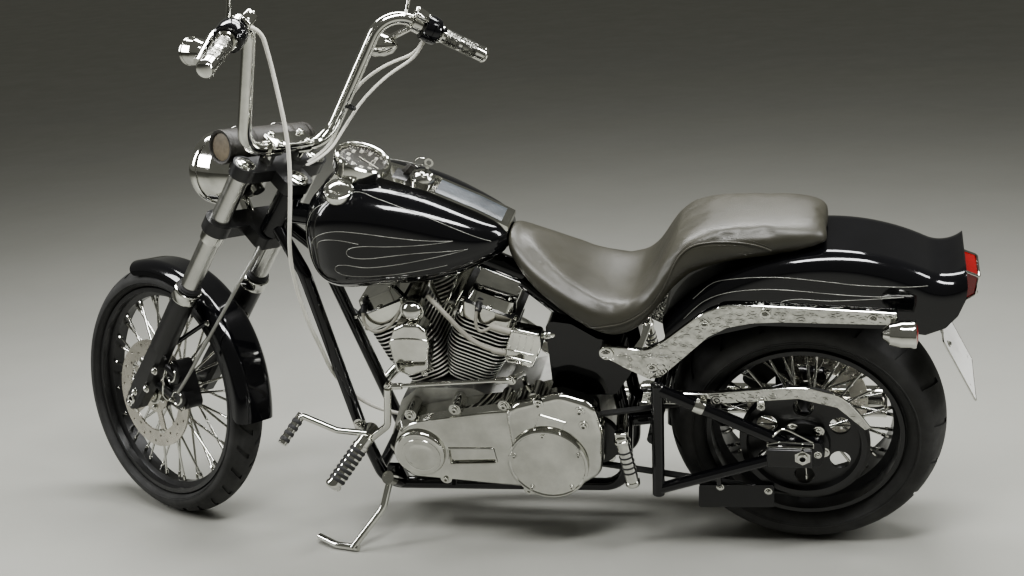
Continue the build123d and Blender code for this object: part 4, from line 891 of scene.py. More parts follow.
class CRUISER_OT_wheels(bpy.types.Operator):
    """Spoke nipples, disc bolts and the rear pulley's bolts"""
    bl_idname = "cruiser.wheels"
    bl_label = "Wheel fittings"

    def execute(self, context):
        dressed("front_nipples", nipples(284, 30), "front_wheel")
        dressed("rear_nipples", nipples(232, 48), "rear_wheel")
        rivets = [("flat", 4.5, 2.5, TO_LEFT, around(5, 104, 62, 0) + around(5, 104, 62, 7))]
        discs = [("acorn", 6.5, 6, TO_LEFT, around(5, 38, 62, 18))]
        rim = collar((0, 62, 0), TO_LEFT, ((21, 0), (21, 3), (24, 4), (29, 4), (31, 2), (31, 0)))
        dressed("front_disc_bolts", heads(rivets + discs) + [rim], "front_wheel")
        right = [("flat", 4.5, 2.5, TO_RIGHT, around(5, 104, -69, 0) + around(5, 104, -69, 7)),
                 ("acorn", 6.5, 6, TO_RIGHT, around(5, 38, -69, 18))]
        left = [("acorn", 10, 6, TO_LEFT, around(5, 51, 122, 61))]
        dressed("rear_wheel_bolts", heads(right + left), "rear_wheel")
        return {"FINISHED"}


# ---------------------------------------------------------------- fork, lamps and controls

CABLE = ((1188, 160, 1412), (1148, 112, 1392), (1147, 98, 1312), (1143, 100, 1230), (1136, 112, 1130),
         (1142, 124, 1040), (1158, 135, 945), (1182, 136, 835), (1187, 126, 735), (1178, 120, 640),
         (1161, 109, 550), (1160, 84, 475), (1135, 48, 385), (1070, 40, 332), (1010, 40, 322))
LAMP, LAMP_AHEAD = Vector((226, 0, 653)), Vector((math.cos(RAKE), 0, -math.sin(RAKE)))
BAR_BEND, BAR_END = Vector((154, 208, 1192)), Vector((-8, 428, 1167))
BAR_ALONG = (BAR_END - BAR_BEND).normalized()
BAR_UP, BAR_AHEAD = Vector((-0.5, 0, 0.86)), Vector((0.86, 0, -0.5))
MIRROR_OVAL = 0.655
SIGNALS = ((186, 287, 1057), (186, -287, 1057))


class CRUISER_OT_fork(bpy.types.Operator):
    """Fork fittings: collars, caliper and clamp bolts, the bars' clamp and the clutch cable"""
    bl_idname = "cruiser.fork"
    bl_label = "Fork fittings"

    def execute(self, context):
        line = wire("clutch_cable_sleeve", mm(CABLE), 0.005, 4)
        settle(line, MACHINE, None, "cable_sleeve", 60)
        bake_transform(line)
        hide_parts("clutch_cable")

        bright, dark = [], []
        for side in (1, -1):
            y = 110 * side
            bright.append(collar((70, y, 366), TO_TOP, ((31.4, 0), (33.4, 1), (34.6, 4), (33.6, 8), (33.2, 26),
                (35.2, 29), (34.6, 32), (31, 33.5), (24.7, 33.5), (24.7, 28), (31.2, 26))))
            dark.append(collar((70, y, 401), TO_TOP, ((24.7, 0), (30, 0), (31, 3), (29, 6), (30.5, 9), (27, 13),
                (24.7, 13))))
            bright.append(collar((70, y, 566), TO_TOP, ((24.7, 0), (27.6, 1), (28.4, 4), (28.4, 30), (24.7, 30))))
            bright.append(collar((70, side * 136, 0), (0, side, 0), ((7, -2), (7, 2), (10, 3), (13.4, 2), (14.4, 0),
                (14.4, -2))))
            bright += heads([("acorn", 7.5, 6.5, (0, side, 0), [(70, side * 134, -14), (70, side * 134, 28)]),
                ("acorn", 7, 6, (0, side, 0), [(100, side * 119, 40)]), ("flat", 15, 7, TO_TOP, [(70, y, 809)]),
                ("socket", 6, 6, (1, 0, 0), [(100, side * 96, 792), (105, side * 90, 617)]),
                ("acorn", 6, 6, (0, side, 0), [(8, side * 62, 326)])])
        bright += heads([("acorn", 8, 7, TO_LEFT, [(38, 134, 140), (38, 134, 73)]),
            ("flat", 19, 9, TO_TOP, [(0, 0, 809)])])
        # The bars' clamp over the risers
        bright.append(block((74, 0, 868), (50, 128, 14), bevel=5))
        bright += heads([("socket", 6.5, 7, TO_TOP, [(x, y, 875) for x in (56, 92) for y in (-45, 45)])])
        dressed("fork_fittings", bright, "fork")
        dressed("fork_dust_seals", dark, "fork", "grip_rubber")

        # Caliper: bridge bolts, piston caps, crossover pipe and banjo
        along, middle = Vector((0.83, 0, 0.56)), Vector((-8, 94, 116))
        small = [collar(middle + along * k, TO_LEFT, ((15, -1), (15, 2), (17, 3), (20, 2), (21, -1)))
            for k in (-31, 31)]
        small += heads([("socket", 6, 7, TO_LEFT, [tuple(middle + along * k + Vector((0, -12, 0)))
            for k in (-58, 58)]), ("acorn", 7, 9, TO_LEFT, [(-22, 92, 82)])])
        small.append(wire("pipe", mm([(46, 92, 150), (40, 99, 128), (20, 100, 88), (4, 98, 62), (-12, 95, 68)]),
            0.0032))
        dressed("caliper_fittings", small, "fork", "polished_chrome")
        tie = collar((90, -166, 946), (0.22, -0.22, 0.95), ((16.2, -3), (21, -3), (21, 3), (16.2, 3)))
        dressed("cable_tie", [tie], "fork", "satin_black")
        return {"FINISHED"}


class CRUISER_OT_lamps(bpy.types.Operator):
    """Headlamp rim and glass, signal lenses, tail lamp frame and mirror glass"""
    bl_idname = "cruiser.lamps"
    bl_label = "Lamps and mirrors"

    def execute(self, context):
        rims, glass = [], []
        rims.append(collar(LAMP, LAMP_AHEAD, ((89, -6), (92.5, -5), (94, 0), (94, 14), (91, 22), (84, 26), (80, 25),
            (82, 18), (89, 14))))
        rims.append(block(LAMP + Vector((-2, 0, 96)), (26, 12, 10), bevel=4))
        glass.append(dome(LAMP, LAMP_AHEAD, ((0, 36), (30, 35), (56, 32), (76, 26), (83, 21), (83, 17), (0, 17))))
        dressed("headlamp_rim", rims, "fork")
        dressed("headlamp_glass", glass, "fork", "fluted_glass")
        amber, trims = [], []
        for p in SIGNALS:
            amber.append(dome(p, LAMP_AHEAD, ((0, 15), (14, 14), (24, 11.5), (27.5, 8), (27.5, 5), (0, 5))))
            trims.append(collar(p, LAMP_AHEAD, ((28, 3), (31.6, 2), (32.4, 5), (31.8, 10), (28.5, 12), (27, 9))))
        dressed("front_signal_lenses", amber, "fork", "smoked_lens")
        dressed("front_signal_rims", trims, "fork")
        back, rims = [], []
        for side in (1, -1):
            p = (-242, side * 200, 675)
            back.append(dome(p, (-1, 0, 0), ((0, 8), (14, 7), (24, 4), (28, 0), (28, -3), (0, -3))))
            rims.append(collar(p, (-1, 0, 0), ((28, -6), (31, -6), (31.6, -2), (30.4, 2), (28, 3.5), (27, 0))))
        dressed("rear_signal_lenses", back, "chassis", "red_lens")
        dressed("rear_signal_rims", rims, "chassis")
        frame_line = [loop([(-339, y, 667), (-373, y, 690), (-379, y, 735), (-347, y, 749)], 3) for y in (-49, 49)]
        frame_line += [bar((-376, -48, 692), (-376, 48, 692), 3), bar((-380, -48, 733), (-380, 48, 733), 3)]
        dressed("tail_lamp_frame", frame_line, "chassis")

        # Mirror glass on the heads' rear faces
        for side, name in ((1, "left"), (-1, "right")):
            root = BAR_END - BAR_ALONG * 192 + BAR_AHEAD * 34
            middle = root + Vector((14, 10, 180))
            middle.y *= side
            face = Vector((-0.83, 0, 0.56))
            pane = dome((0, 0, 0), TO_TOP, ((0, 2.6), (52, 2.0), (57, 0.8), (57, -1), (0, -1)), 48)
            rim = collar((0, 0, 0), TO_TOP, ((56, -2), (56, 2), (58, 3.4), (61, 2.4), (62.4, -2)), 48)
            for obj, wears, part in ((pane, "mirror_glass", "_mirror_glass"),
                                     (rim, "polished_chrome", "_mirror_rim")):
                aimed = at(middle, face)
                across = abs(aimed.col[1].y) > 0.9
                narrow = (MIRROR_OVAL, 1, 1, 1) if across else (1, MIRROR_OVAL, 1, 1)
                obj.matrix_world = aimed @ Matrix.Diagonal(narrow)
                dressed(name + part, [obj], "fork", wears)
        return {"FINISHED"}


class CRUISER_OT_controls(bpy.types.Operator):
    """Grip bands, switches, housing screws and reservoirs on the bars"""
    bl_idname = "cruiser.controls"
    bl_label = "Hand controls"

    def execute(self, context):
        along, up, grip = BAR_ALONG, BAR_UP, BAR_END - BAR_ALONG * 122
        for side, name in ((1, "left"), (-1, "right")):
            def flipped(v):
                return Vector((v.x, v.y * side, v.z))
            way = flipped(along)
            rubber = [collar(flipped(grip + along * d), way, ((18.6, -w), (19.6, -w + 1), (20.4, 0), (19.6, w - 1),
                (18.6, w))) for d, w in ((32, 20), (80, 20))]
            dressed(name + "_grip_bands", rubber, "fork", "grip_pewter")
            ends = [collar(flipped(grip - along * 3), way, ((18.8, 0), (23, 1), (24, 4), (22, 7), (18.8, 7))),
                    dome(flipped(BAR_END), way, ((0, 14), (10, 13), (17, 10), (20.5, 4), (20.5, 0), (0, 0)))]
            dressed(name + "_grip_ends", ends, "fork")
            rear = (up * 0.5 - BAR_AHEAD).normalized()
            shell = [collar(flipped(grip - along * 27), way, ((29, -21), (33, -18), (34.5, -10), (34.5, -1.2),
                (33, -0.6), (33, 0.6), (34.5, 1.2), (34.5, 10), (33, 18), (29, 21)))]
            for d, lift in ((-34, rear), (-16, rear)):
                spot = flipped(grip + along * d + lift * 35)
                shell.append(block(spot, (13, 11, 9), flipped(lift), bevel=2.5))
            dressed(name + "_switches", shell, "fork", "gloss_black_paint")
            cup = flipped(grip - along * 76 + up * 34)
            pot = [block(cup, (42, 30, 20), flipped(up), 0.6 * side, bevel=7)]
            pot += heads([("flat", 3.4, 2, flipped(up), [tuple(cup + flipped(up) * 12 + flipped(along) * k)
                for k in (-17, 17)]),
                ("flat", 7, 5, tuple(BAR_AHEAD), [tuple(flipped(grip - along * 70) + BAR_AHEAD * 44)])])
            dressed(name + "_lever_perch", pot, "fork")
        return {"FINISHED"}


# ---------------------------------------------------------------- tank

DIAL, DIAL_UP = Vector((1015, 0, 1004)), Vector((-0.42, 0, 0.91)).normalized()
# The painted lines of tank and rear fender: side views in x, z
TANK_LINES = (
    ((1135, 751), (1151, 788), (1150, 842), (1136, 895), (1113, 935), (1076, 958), (1008, 977), (951, 964),
     (895, 944), (839, 920), (765, 880), (700, 842)),
    ((1122, 772), (1136, 812), (1128, 856), (1098, 886), (1050, 900), (990, 896), (920, 884), (850, 872), (780, 862)),
    ((780, 862), (860, 860), (930, 860), (990, 862), (1024, 856), (1034, 842), (1020, 832), (980, 830), (920, 836),
     (850, 840), (750, 836)),
    ((750, 836), (840, 824), (920, 812), (990, 806), (1040, 812), (1066, 808), (1070, 794), (1050, 784), (1000, 780),
     (930, 784), (860, 794), (800, 802)),
    ((1112, 848), (1104, 866), (1078, 876), (1040, 876), (1000, 868)))
FENDER_LINES = (
    ((262, 660), (216, 704), (160, 730), (90, 740), (20, 738), (-60, 730), (-140, 724), (-220, 722)),
    ((-220, 722), (-140, 716), (-60, 712), (0, 716), (40, 710), (30, 698), (-20, 694), (-90, 696)),
    ((240, 704), (190, 744), (120, 764), (40, 770), (-40, 762), (-120, 752), (-200, 748), (-270, 746)))


def striped(name, base, lines, body, radius=0.0008, start=260):
    """Fine painted lines laid on both sides of a node's skin."""
    tree, made = skin_of(NODES[base]), []
    for side in (1, -1):
        for line in lines:
            points = [MACHINE @ (Vector((x, side * start, z)) * MM) for x, z in smooth_rows(line, 5)]
            way = MACHINE.to_3x3() @ Vector((0, -side, 0))
            hits = []
            for p in points:
                spot, normal, _, _ = tree.ray_cast(p, way)
                if spot is not None and (not hits or (spot - hits[-1]).length < 0.06):
                    hits.append(spot + normal * radius * 0.2)
            if len(hits) > 3:
                made.append(wire("line", hits, radius, 1))
    return dressed(name, made, body, "stripe_silver", 60, place=Matrix())


class CRUISER_OT_tank(bpy.types.Operator):
    """Dial, ignition switch with keys, console insert, filler caps and the painted lines"""
    bl_idname = "cruiser.tank"
    bl_label = "Tank fittings"

    def execute(self, context):
        face_place = MACHINE @ axes((0, -1, 0), Vector((0.91, 0, 0.42)).normalized(), DIAL_UP, DIAL * MM)
        face = dome((0, 0, 12.2), TO_TOP, ((0, 1), (50, 1), (57, 0.6), (57, -0.6), (0, -0.6)), 48)
        dressed("dial_face", [face], "chassis", "dial_olive", place=face_place)
        bezel = collar((0, 0, 10), TO_TOP, ((56.5, 3), (56.5, 7), (59, 12), (63, 13), (67, 10), (68.5, 4),
            (68.5, -8), (66.4, -8), (66.4, 3)), 56)
        boss = dome((0, 0, 13), TO_TOP, ((0, 4), (4, 3.4), (5.5, 0), (0, 0)), 20)
        dressed("dial_bezel", [bezel, boss], "chassis", place=face_place)
        marks = []
        for k in range(9):
            turn = math.radians(225 - 33.75 * k)
            clear()
            bpy.ops.object.text_add(location=(0.036 * math.cos(turn), 0.036 * math.sin(turn), 0.0135))
            digit = context.object
            digit.data.body, digit.data.size, digit.data.extrude = str(20 * k), 0.0135 if k < 5 else 0.0115, 0.0002
            digit.data.align_x, digit.data.align_y, digit.data.resolution_u = "CENTER", "CENTER", 3
            bpy.ops.object.convert(target="MESH")
            baked()
            marks.append(context.object)
        for k in range(33):
            turn = math.radians(225 - 270 * k / 32)
            a, b = (46.5 if k % 4 == 0 else 49.5), 54
            marks.append(cylinder("tick", *mm([(a * math.cos(turn), a * math.sin(turn), 13.3),
                (b * math.cos(turn), b * math.sin(turn), 13.3)]), 0.0006, 4))
        needle = math.radians(250)
        marks.append(cylinder("needle", *mm([(-12 * math.cos(needle), -12 * math.sin(needle), 15),
            (46 * math.cos(needle), 46 * math.sin(needle), 15)]), 0.0009, 6))
        marks.append(loop([(-13, -20, 13.4), (13, -20, 13.4), (13, -28, 13.4), (-13, -28, 13.4)], 0.5, 1))
        dressed("dial_marks", marks, "chassis", "dial_white", place=face_place)
        pane = dome((0, 0, 17), TO_TOP, ((0, 4), (30, 3), (50, 1.2), (57.5, -0.6), (57.5, -1.6), (0, -1.6)), 48)
        dressed("dial_glass", [pane], "chassis", "clear_glass", place=face_place)

        # Console: the leather insert between its bright edges, and the dark panel
        tree = skin_of(NODES["tank_trim"])

        def on_console(x, y, lift):
            top = MACHINE @ (Vector((x, y, 1100)) * MM)
            spot, normal, _, _ = tree.ray_cast(top, MACHINE.to_3x3() @ Vector((0, 0, -1)))
            return None if spot is None else spot + normal * lift * MM

        def laid(name, x0, x1, half, lift, wears):
            rings = []
            for k in range(13):
                x = x0 + (x1 - x0) * k / 12
                low = [on_console(x, half * s / 4, 0.2) for s in range(-4, 5)]
                if any(p is None for p in low):
                    continue
                crown = [p + (MACHINE.to_3x3() @ Vector((-0.4, 0, 0.92))) * lift * MM * (1 if abs(s) < 4 else 0.2)
                         for p, s in zip(low, range(-4, 5))]
                rings.append(crown + low[::-1])
            dressed(name, [lofted(name, rings)], "chassis", wears, 40, place=Matrix())
        laid("console_insert", 834, 684, 33, 2.4, "console_leather")
        laid("console_panel", 936, 902, 25, 1.6, "satin_black")

        lock = MACHINE @ at((872, 0, 955), DIAL_UP)
        barrel = [collar((0, 0, 20), TO_TOP, ((23, -16), (26, -15), (26, -1), (24, 3), (18, 5), (15, 3), (15, 0),
            (22, 0)), 28), dome((0, 0, 20), TO_TOP, ((0, 8), (9, 8), (12, 6), (14.5, 1), (14.5, -1), (0, -1))),
            block((0, 0, 38), (2.4, 9, 22), bevel=0.8), collar((0, 0, 56), (1, 0, 0),
            ((6, -1.2), (11, -1.2), (11, 1.2), (6, 1.2)), 24)]
        hoop = wire("hoop", mm([(0, 8, 58), (0, 18, 64), (2, 31, 54), (3, 34, 38), (2, 26, 32), (0, 15, 42),
            (0, 8, 56)]), 0.0010)
        dressed("ignition_lock", barrel + [hoop], "chassis", place=lock)
        tags = []
        for shift, length, turn in ((0, 44, 0.2), (7, 36, -0.5)):
            tags.append(block((4 + shift, 40 + shift, 22 - length * 0.3), (3, 15, length), (0.15 * turn, -0.35, 1),
                turn, bevel=1.4))
        dressed("key_tags", tags, "chassis", "roll_leather", place=lock)

        caps = []
        for side in (1, -1):
            middle, way = Vector((1045, side * 92, 976)), Vector((-0.1, side * 0.35, 0.93))
            caps.append(collar(middle + way * 2, way,
                ((33.6, -8), (36.4, -7), (36.8, 2), (34.6, 10), (30, 12.6), (26, 12.6), (26, 11), (33, 8)), 48))
            caps.append(dome(middle + way * 14, way,
                ((0, 3.4), (12, 3), (22, 1.6), (25, 0), (0, 0)), 40))
        dressed("filler_cap_rims", caps, "chassis")
        striped("tank_lines", "fuel_tank", TANK_LINES, "chassis")
        striped("fender_lines", "rear_fender", FENDER_LINES, "chassis", start=200)
        return {"FINISHED"}


# ---------------------------------------------------------------- engine

# Middles of the round covers in x, z: clutch and drive on the left, timing and air cleaner on the right
CLUTCH, DRIVE, TIMING, CLEANER = (605, 285), (930, 286), (880, 340), (850, 590)


def on_side(middle, y):
    return (middle[0], y, middle[1])


class CRUISER_OT_engine(bpy.types.Operator):
    """Bolts, seams, plugs and leads, cover rims and the shift rod's ends"""
    bl_idname = "cruiser.engine"
    bl_label = "Engine fittings"

    def execute(self, context):
        for name, tilt in BANKS:
            place = MACHINE @ bank(tilt)
            bright = heads([("socket", 5.5, 6, TO_TOP, [(x, y, 358) for x in (-67, 0, 67) for y in (-83, 83)]),
                ("flat", 6, 5, TO_TOP, [(x, y, 386) for x in (-38, 38) for y in (-48, 48)])])
            dressed(name + "_head_bolts", bright, "chassis", place=place)
            seams = [block((0, 0, 358), (150.3, 178.3, 1.6), bevel=0.3)]
            dressed(name + "_head_seams", seams, "chassis", "satin_black", place=place)
            fins = [block((0, 0, z), (158, 186, 4), bevel=1.2) for z in (318, 328)]
            for fin in fins:
                rounded_corners(fin, 0.034)
            dressed(name + "_head_fins", fins, "chassis", name + "_fins", place=place)

        chrome = heads([("socket", 8, 8, TO_LEFT, [(x, 153, z) for x,
            z in ((945, 398), (829, 417), (704, 432), (668, 184), (880, 208))]),
            ("socket", 8, 8, TO_LEFT, [(x, 175, z) for x, z in ((612, 454), (514, 436), (508, 396))]),
            ("socket", 5.5, 5, TO_LEFT, around(5, 84, 184, 15, CLUTCH)),
            ("acorn", 12, 10, TO_LEFT, [(1098, 116, 340), (432, 90, 302), (474, 84, 242)]),
            ("acorn", 6, 6, TO_LEFT, [(905, 112, 494), (588, 102, 600)])])
        chrome += [bar((x, 150, z), (x, 176, z), 13, 28, 2) for x, z in ((612, 454), (514, 436), (508, 396))]
        chrome.append(collar(on_side(CLUTCH, 184), TO_LEFT, ((91, -2), (91, 1), (93, 3), (96, 3.4), (98.6, 1),
            (99.4, -4), (97, -7)), 96))
        chrome.append(collar(on_side(DRIVE, 168), TO_LEFT, ((40, -2), (41, 2.5), (45, 4), (50, 3), (53, -2)), 72))
        chrome.append(dome(on_side(DRIVE, 168), TO_LEFT, ((0, 6), (18, 5.4), (32, 3.4), (39, 1), (39, -3), (0, -3)),
            48))
        chrome.append(loop([(862, 156.5, 304), (745, 156.5, 308), (740, 156.5, 264), (862, 156.5, 256)], 2.2))
        chrome.append(loop([(614, 174.5, 424), (548, 174.5, 402), (570, 174.5, 374), (632, 174.5, 380)], 1.4))
        # The long bright shoulder along the primary's top
        chrome.append(wire("shoulder", mm([(975, 156, 352), (950, 157, 374), (900, 157, 384), (820, 157, 398),
            (735, 157, 412), (690, 157, 416)]), 0.0034))
        dressed("primary_fittings", chrome, "chassis")

        horn = [dome((904, 128, 680), TO_LEFT, ((0, 20), (9, 19), (17, 15), (23, 9), (26.4, 2), (26.4, -4),
            (0, -4))), collar((904, 128, 680), TO_LEFT, ((26, -3), (28, -2), (28.4, 1), (26, 2))),
            wire("fold", mm([(873, 149, 610), (890, 151, 616), (950, 151, 616), (966, 149, 608)]), 0.0016),
            bar((660, 140, 640), (600, 140, 624), 5, 12), bar((684, 143, 566), (622, 143, 549), 4, 12),
            bar((678, 143, 586), (616, 143, 570), 3, 12)]
        horn += [bar((x, 143.6, z), (x - 12, 143.6, z + 38), 1.6, 8, 0.5) for x,
            z in ((672, 590), (656, 586), (640, 582), (624, 578))]
        dressed("cover_trims", horn, "chassis")

        leads = [wire("lead", mm(points), r) for r, points in ((0.0042,
            ((1040, 92, 664), (1044, 101, 640), (1034, 106, 616), (1006, 108, 606), (974, 106, 624), (950, 100, 654),
            (938, 86, 676))), (0.0042, ((752, 96, 672), (760, 103, 646), (758, 107, 618), (742, 108, 612),
            (720, 110, 628), (690, 114, 624))), (0.0062, ((872, 96, 704), (850, 106, 684), (818, 114, 650),
            (784, 118, 606), (748, 120, 580), (706, 122, 566), (680, 122, 560))))]
        leads.append(bar((722, 110, 630), (664, 118, 616), 9, 20, 2))
        leads.append(bar((724, 120, 570), (682, 122, 560), 8, 20, 2))
        dressed("plug_leads", leads, "chassis", "lead_grey")
        boots = [bar((1040, 80, 668), (1040, 97, 654), 8, 16, 2), bar((752, 80, 676), (752, 99, 662), 8, 16, 2)]
        boots += [bar(a, b, 10, 6, 1) for a, b in (((1038, 60, 672), (1038, 74, 670)),
            ((750, 60, 680), (750, 74, 678)))]
        dressed("plug_boots", boots, "chassis", "grip_rubber")

        rod = [bar((968, 200, 512), (934, 200, 514), 8, 20, 1.5), bar((702, 192, 530), (664, 190, 532), 8, 20, 1.5),
               collar((968, 196, 512), TO_LEFT, ((6, -1), (11, -1), (11, 9), (6, 9)), 24),
               collar((664, 186, 532), TO_LEFT, ((6, -1), (11, -1), (11, 9), (6, 9)), 24)]
        rod += heads([("flat", 7, 7, TO_LEFT, [(968, 206, 512), (664, 196, 532)]),
            ("acorn", 8, 8, TO_LEFT, [(1046, 214, 366)])])
        dressed("shift_rod_ends", rod, "chassis")

        right = [collar(on_side(TIMING, -132), TO_RIGHT,
                        ((56, -2), (56, 2), (59, 5), (64, 5.4), (67, 3), (68, -2)), 72),
                 dome(on_side(TIMING, -131), TO_RIGHT, ((0, 7), (30, 6.4), (50, 4), (56, 0), (0, 0)), 56),
                 collar(on_side(CLEANER, -190), TO_RIGHT, ((52, -2), (53, 3), (57, 5), (62, 3), (64, -2)), 72),
                 dome(on_side(CLEANER, -191), TO_RIGHT, ((0, 9), (20, 8), (36, 4.4), (42, 0), (0, 0)), 56)]
        right += heads([("socket", 6, 6, TO_RIGHT, around(8, 92, -132, 10, TIMING)),
            ("socket", 4.5, 4, TO_RIGHT, around(5, 60, -136, 30, TIMING)),
            ("socket", 6, 5, TO_RIGHT, around(3, 76, -189, 90, CLEANER))])
        dressed("right_cover_fittings", right, "chassis")
        return {"FINISHED"}


class CRUISER_OT_pegs(bpy.types.Operator):
    """Peg rubbers and caps, and pedal pads"""
    bl_idname = "cruiser.pegs"
    bl_label = "Pegs and pedals"

    def execute(self, context):
        rubber, metal = [], []
        for side in (1, -1):
            a, b = Vector((1046, side * 210, 366)), Vector((1118, side * 300, 285))
            way = (b - a).normalized()
            rubber += [collar(a + way * d, way, ((18.6, -5), (20.4, -4), (21.4, 0), (20.4, 4), (18.6, 5)), 24)
                       for d in (38, 52, 66, 80, 94, 108, 122)]
            metal += [collar(a + way * 26, way, ((18.8, -5), (21.6, -4), (21.6, 3), (18.8, 4)), 28),
                      dome(b, way, ((0, 9), (11, 8), (18, 5), (21, 0), (21, -6), (0, -6)))]
            out = 186 if side > 0 else 272
            top = 376 if side > 0 else 422
            p, q = Vector((418, side * out, top)), Vector((398, side * (out + 8), top - 130))
            way = (q - p).normalized()
            metal += [collar(p + way * 12, way, ((15.8, -5), (19, -4), (19.6, 2), (17.4, 6), (15.8, 6)), 28),
                      dome(q, way, ((0, 9), (9, 8), (15, 5), (18.4, -1), (18, -8), (0, -8))),
                      block(p + Vector((0, 0, 6)), (28, 20, 16), bevel=4)]
            rubber += [collar(p + way * d, way, ((15.6, -3), (17, -2), (17.2, 0), (17, 2), (15.6, 3)), 24)
                       for d in (40, 54, 68, 82, 96)]
        rubber += [collar(Vector((1196, 224, 440)) + Vector((36, 66, -42)) * k, (36, 66, -42),
            ((10.8, -5), (12.6, -4), (13.2, 0), (12.6, 4), (10.8, 5)), 20) for k in (0.25, 0.45, 0.65, 0.85)]
        rubber += [collar((1190 + 42 * k, -230 - 40 * k, 440), (42, -40, 0),
            ((13.8, -5), (15.6, -4), (16, 0), (15.6, 4), (13.8, 5)), 20) for k in (0.3, 0.55, 0.8)]
        dressed("peg_rubbers", rubber, "chassis", "grip_rubber")
        dressed("peg_metal", metal, "chassis")
        return {"FINISHED"}


# ---------------------------------------------------------------- rear

class CRUISER_OT_rear(bpy.types.Operator):
    """Strut bolts, belt guard mesh, axle covers, clamps and muffler bands"""
    bl_idname = "cruiser.rear"
    bl_label = "Rear fittings"

    def execute(self, context):
        strut = ((342, 533), (214, 652), (78, 680), (-156, 672))
        chrome = []
        for side in (1, -1):
            way = (0, side, 0)
            chrome += heads([("acorn", 9, 7, way, [(x, side * 131, z) for x, z in strut]),
                ("acorn", 12, 8, way, [(446, side * 131, 572)])])
            edge = [(447, 589), (400, 586), (350, 581), (299, 613), (226, 674), (183, 694), (130, 704), (-204, 686)]
            chrome.append(wire("edge", mm([(x, side * 131, z) for x, z in smooth_rows(edge, 2)]), 0.0026))
            chrome.append(bar((-200, side * 180, 664), (-232, side * 196, 672), 9, 20, 2))
            chrome += heads([("flat", 6, 5, way, [(-200, side * 186, 664)])])
        dressed("strut_bolts", chrome, "chassis")

        diamond = cylinder("cell", (0, 0, -0.0006), (0, 0, 0.0007), 0.0044, 4, 0.0003)
        diamond.data.transform(Matrix.Diagonal((0.7, 1.25, 1, 1)))
        places = []
        for row, z in enumerate((445.5, 453, 460.5)):
            for k in range(17):
                x = 234 + 7.4 * k + 3.7 * (row % 2)
                if x < 358:
                    places.append(at((x, 137.5, z + 0.02 * (x - 234) * (1 - row)), TO_LEFT))
        cells = copies(diamond, places)
        dressed("guard_mesh", cells, "chassis", "satin_black")
        guard = [wire("edge", mm([(x, 137.6, z) for x, z in smooth_rows(((364, 469), (290, 469), (220, 469),
            (120, 480), (6, 491), (-50, 480), (-88, 466), (-122, 430), (-150, 388)), 3)]), 0.0026),
            wire("edge", mm([(x, 137.6, z) for x, z in smooth_rows(((370, 443), (300, 441), (222, 441)), 3)]),
            0.0018), block((94, 136, 442), (18, 8, 22), bevel=2)]
        guard += heads([("acorn", 7, 7, TO_LEFT, [(94, 140, 438), (352, 137.5, 452), (198, 137.5, 203),
            (84, 137.5, 196)])])
        dressed("guard_fittings", guard, "chassis")

        rear = []
        slope = Vector((330, 0, 162)).normalized()
        rear.append(collar(Vector((236, 150, 443)) - slope * 13, slope,
            ((15.4, 0), (18, 1), (18.6, 4), (18.6, 22), (18, 25), (15.4, 26))))
        rear.append(block((236, 150, 462), (22, 16, 10), tuple(slope), bevel=3))
        for side in (1, -1):
            y = side * 164.5
            rear.append(loop([(80, y, 352), (47, y, 360), (-24, y, 356), (-24, y, 346), (80, y, 346)], 2.4))
            rear.append(wire("crest", mm([(80, y - side * 4, 352), (62, y - side * 6, 378), (46, y - side * 10, 392),
                (14, y - side * 6, 378), (-24, y - side * 2, 358)]), 0.0028))
            rear += heads([("acorn", 7, 6, (0, side, 0), [(48, side * 164, 326), (-34, side * 164, 326)])])
        rear.append(collar((0, 184, 326), TO_LEFT, ((7, -3), (7, 1), (10, 2), (12.6, 1), (13.2, -2), (13.2, -4))))
        dressed("axle_covers", rear, "chassis")

        boxes = [block((30, side * 170, 320), (104, 16, 50), bevel=5) for side in (1, -1)]
        dressed("axle_boxes", boxes, "chassis", "satin_black")

        pipes = []
        for x0, x1, z in ((430, -190, 228), (330, -150, 352)):
            for x, wide in ((x0 - 6, 16), (x0 - 150, 12), (x1 + 90, 12)):
                pipes.append(collar((x, -210, z), (-1, 0, 0), ((40, 0), (42, 1), (42, wide - 1), (40, wide)), 48))
            pipes.append(collar((x0 + 2, -210, z), (1, 0, 0), ((24, 0), (38, 0), (33, 6), (26.4, 12), (26.4, 26),
                (24, 26)), 48))
            pipes.append(collar((x1, -210, z), (-1, 0, 0), ((33, -6), (33, 2), (36, 4), (40.4, 2), (41.6, -3),
                (40, -8)), 48))
            pipes += heads([("flat", 6, 5, TO_RIGHT, [(x0 - 14, -251, z), (x1 + 84, -251, z)])])
        dressed("muffler_bands", pipes, "chassis")

        plate_place = MACHINE @ axes((0, 1, 0), Vector((0.43, 0, 0.9)), Vector((-0.9, 0, 0.43)),
            Vector((-343, 0, 512)) * MM)
        rim = [loop([(-89, -87, 2), (89, -87, 2), (89, 87, 2), (-89, 87, 2)], 1.8)]
        rim += heads([("acorn", 6, 5, TO_TOP, [(x, 60, 3) for x in (-60, 60)])])
        dressed("plate_frame", rim, "chassis", place=plate_place)
        return {"FINISHED"}


# ---------------------------------------------------------------- stage

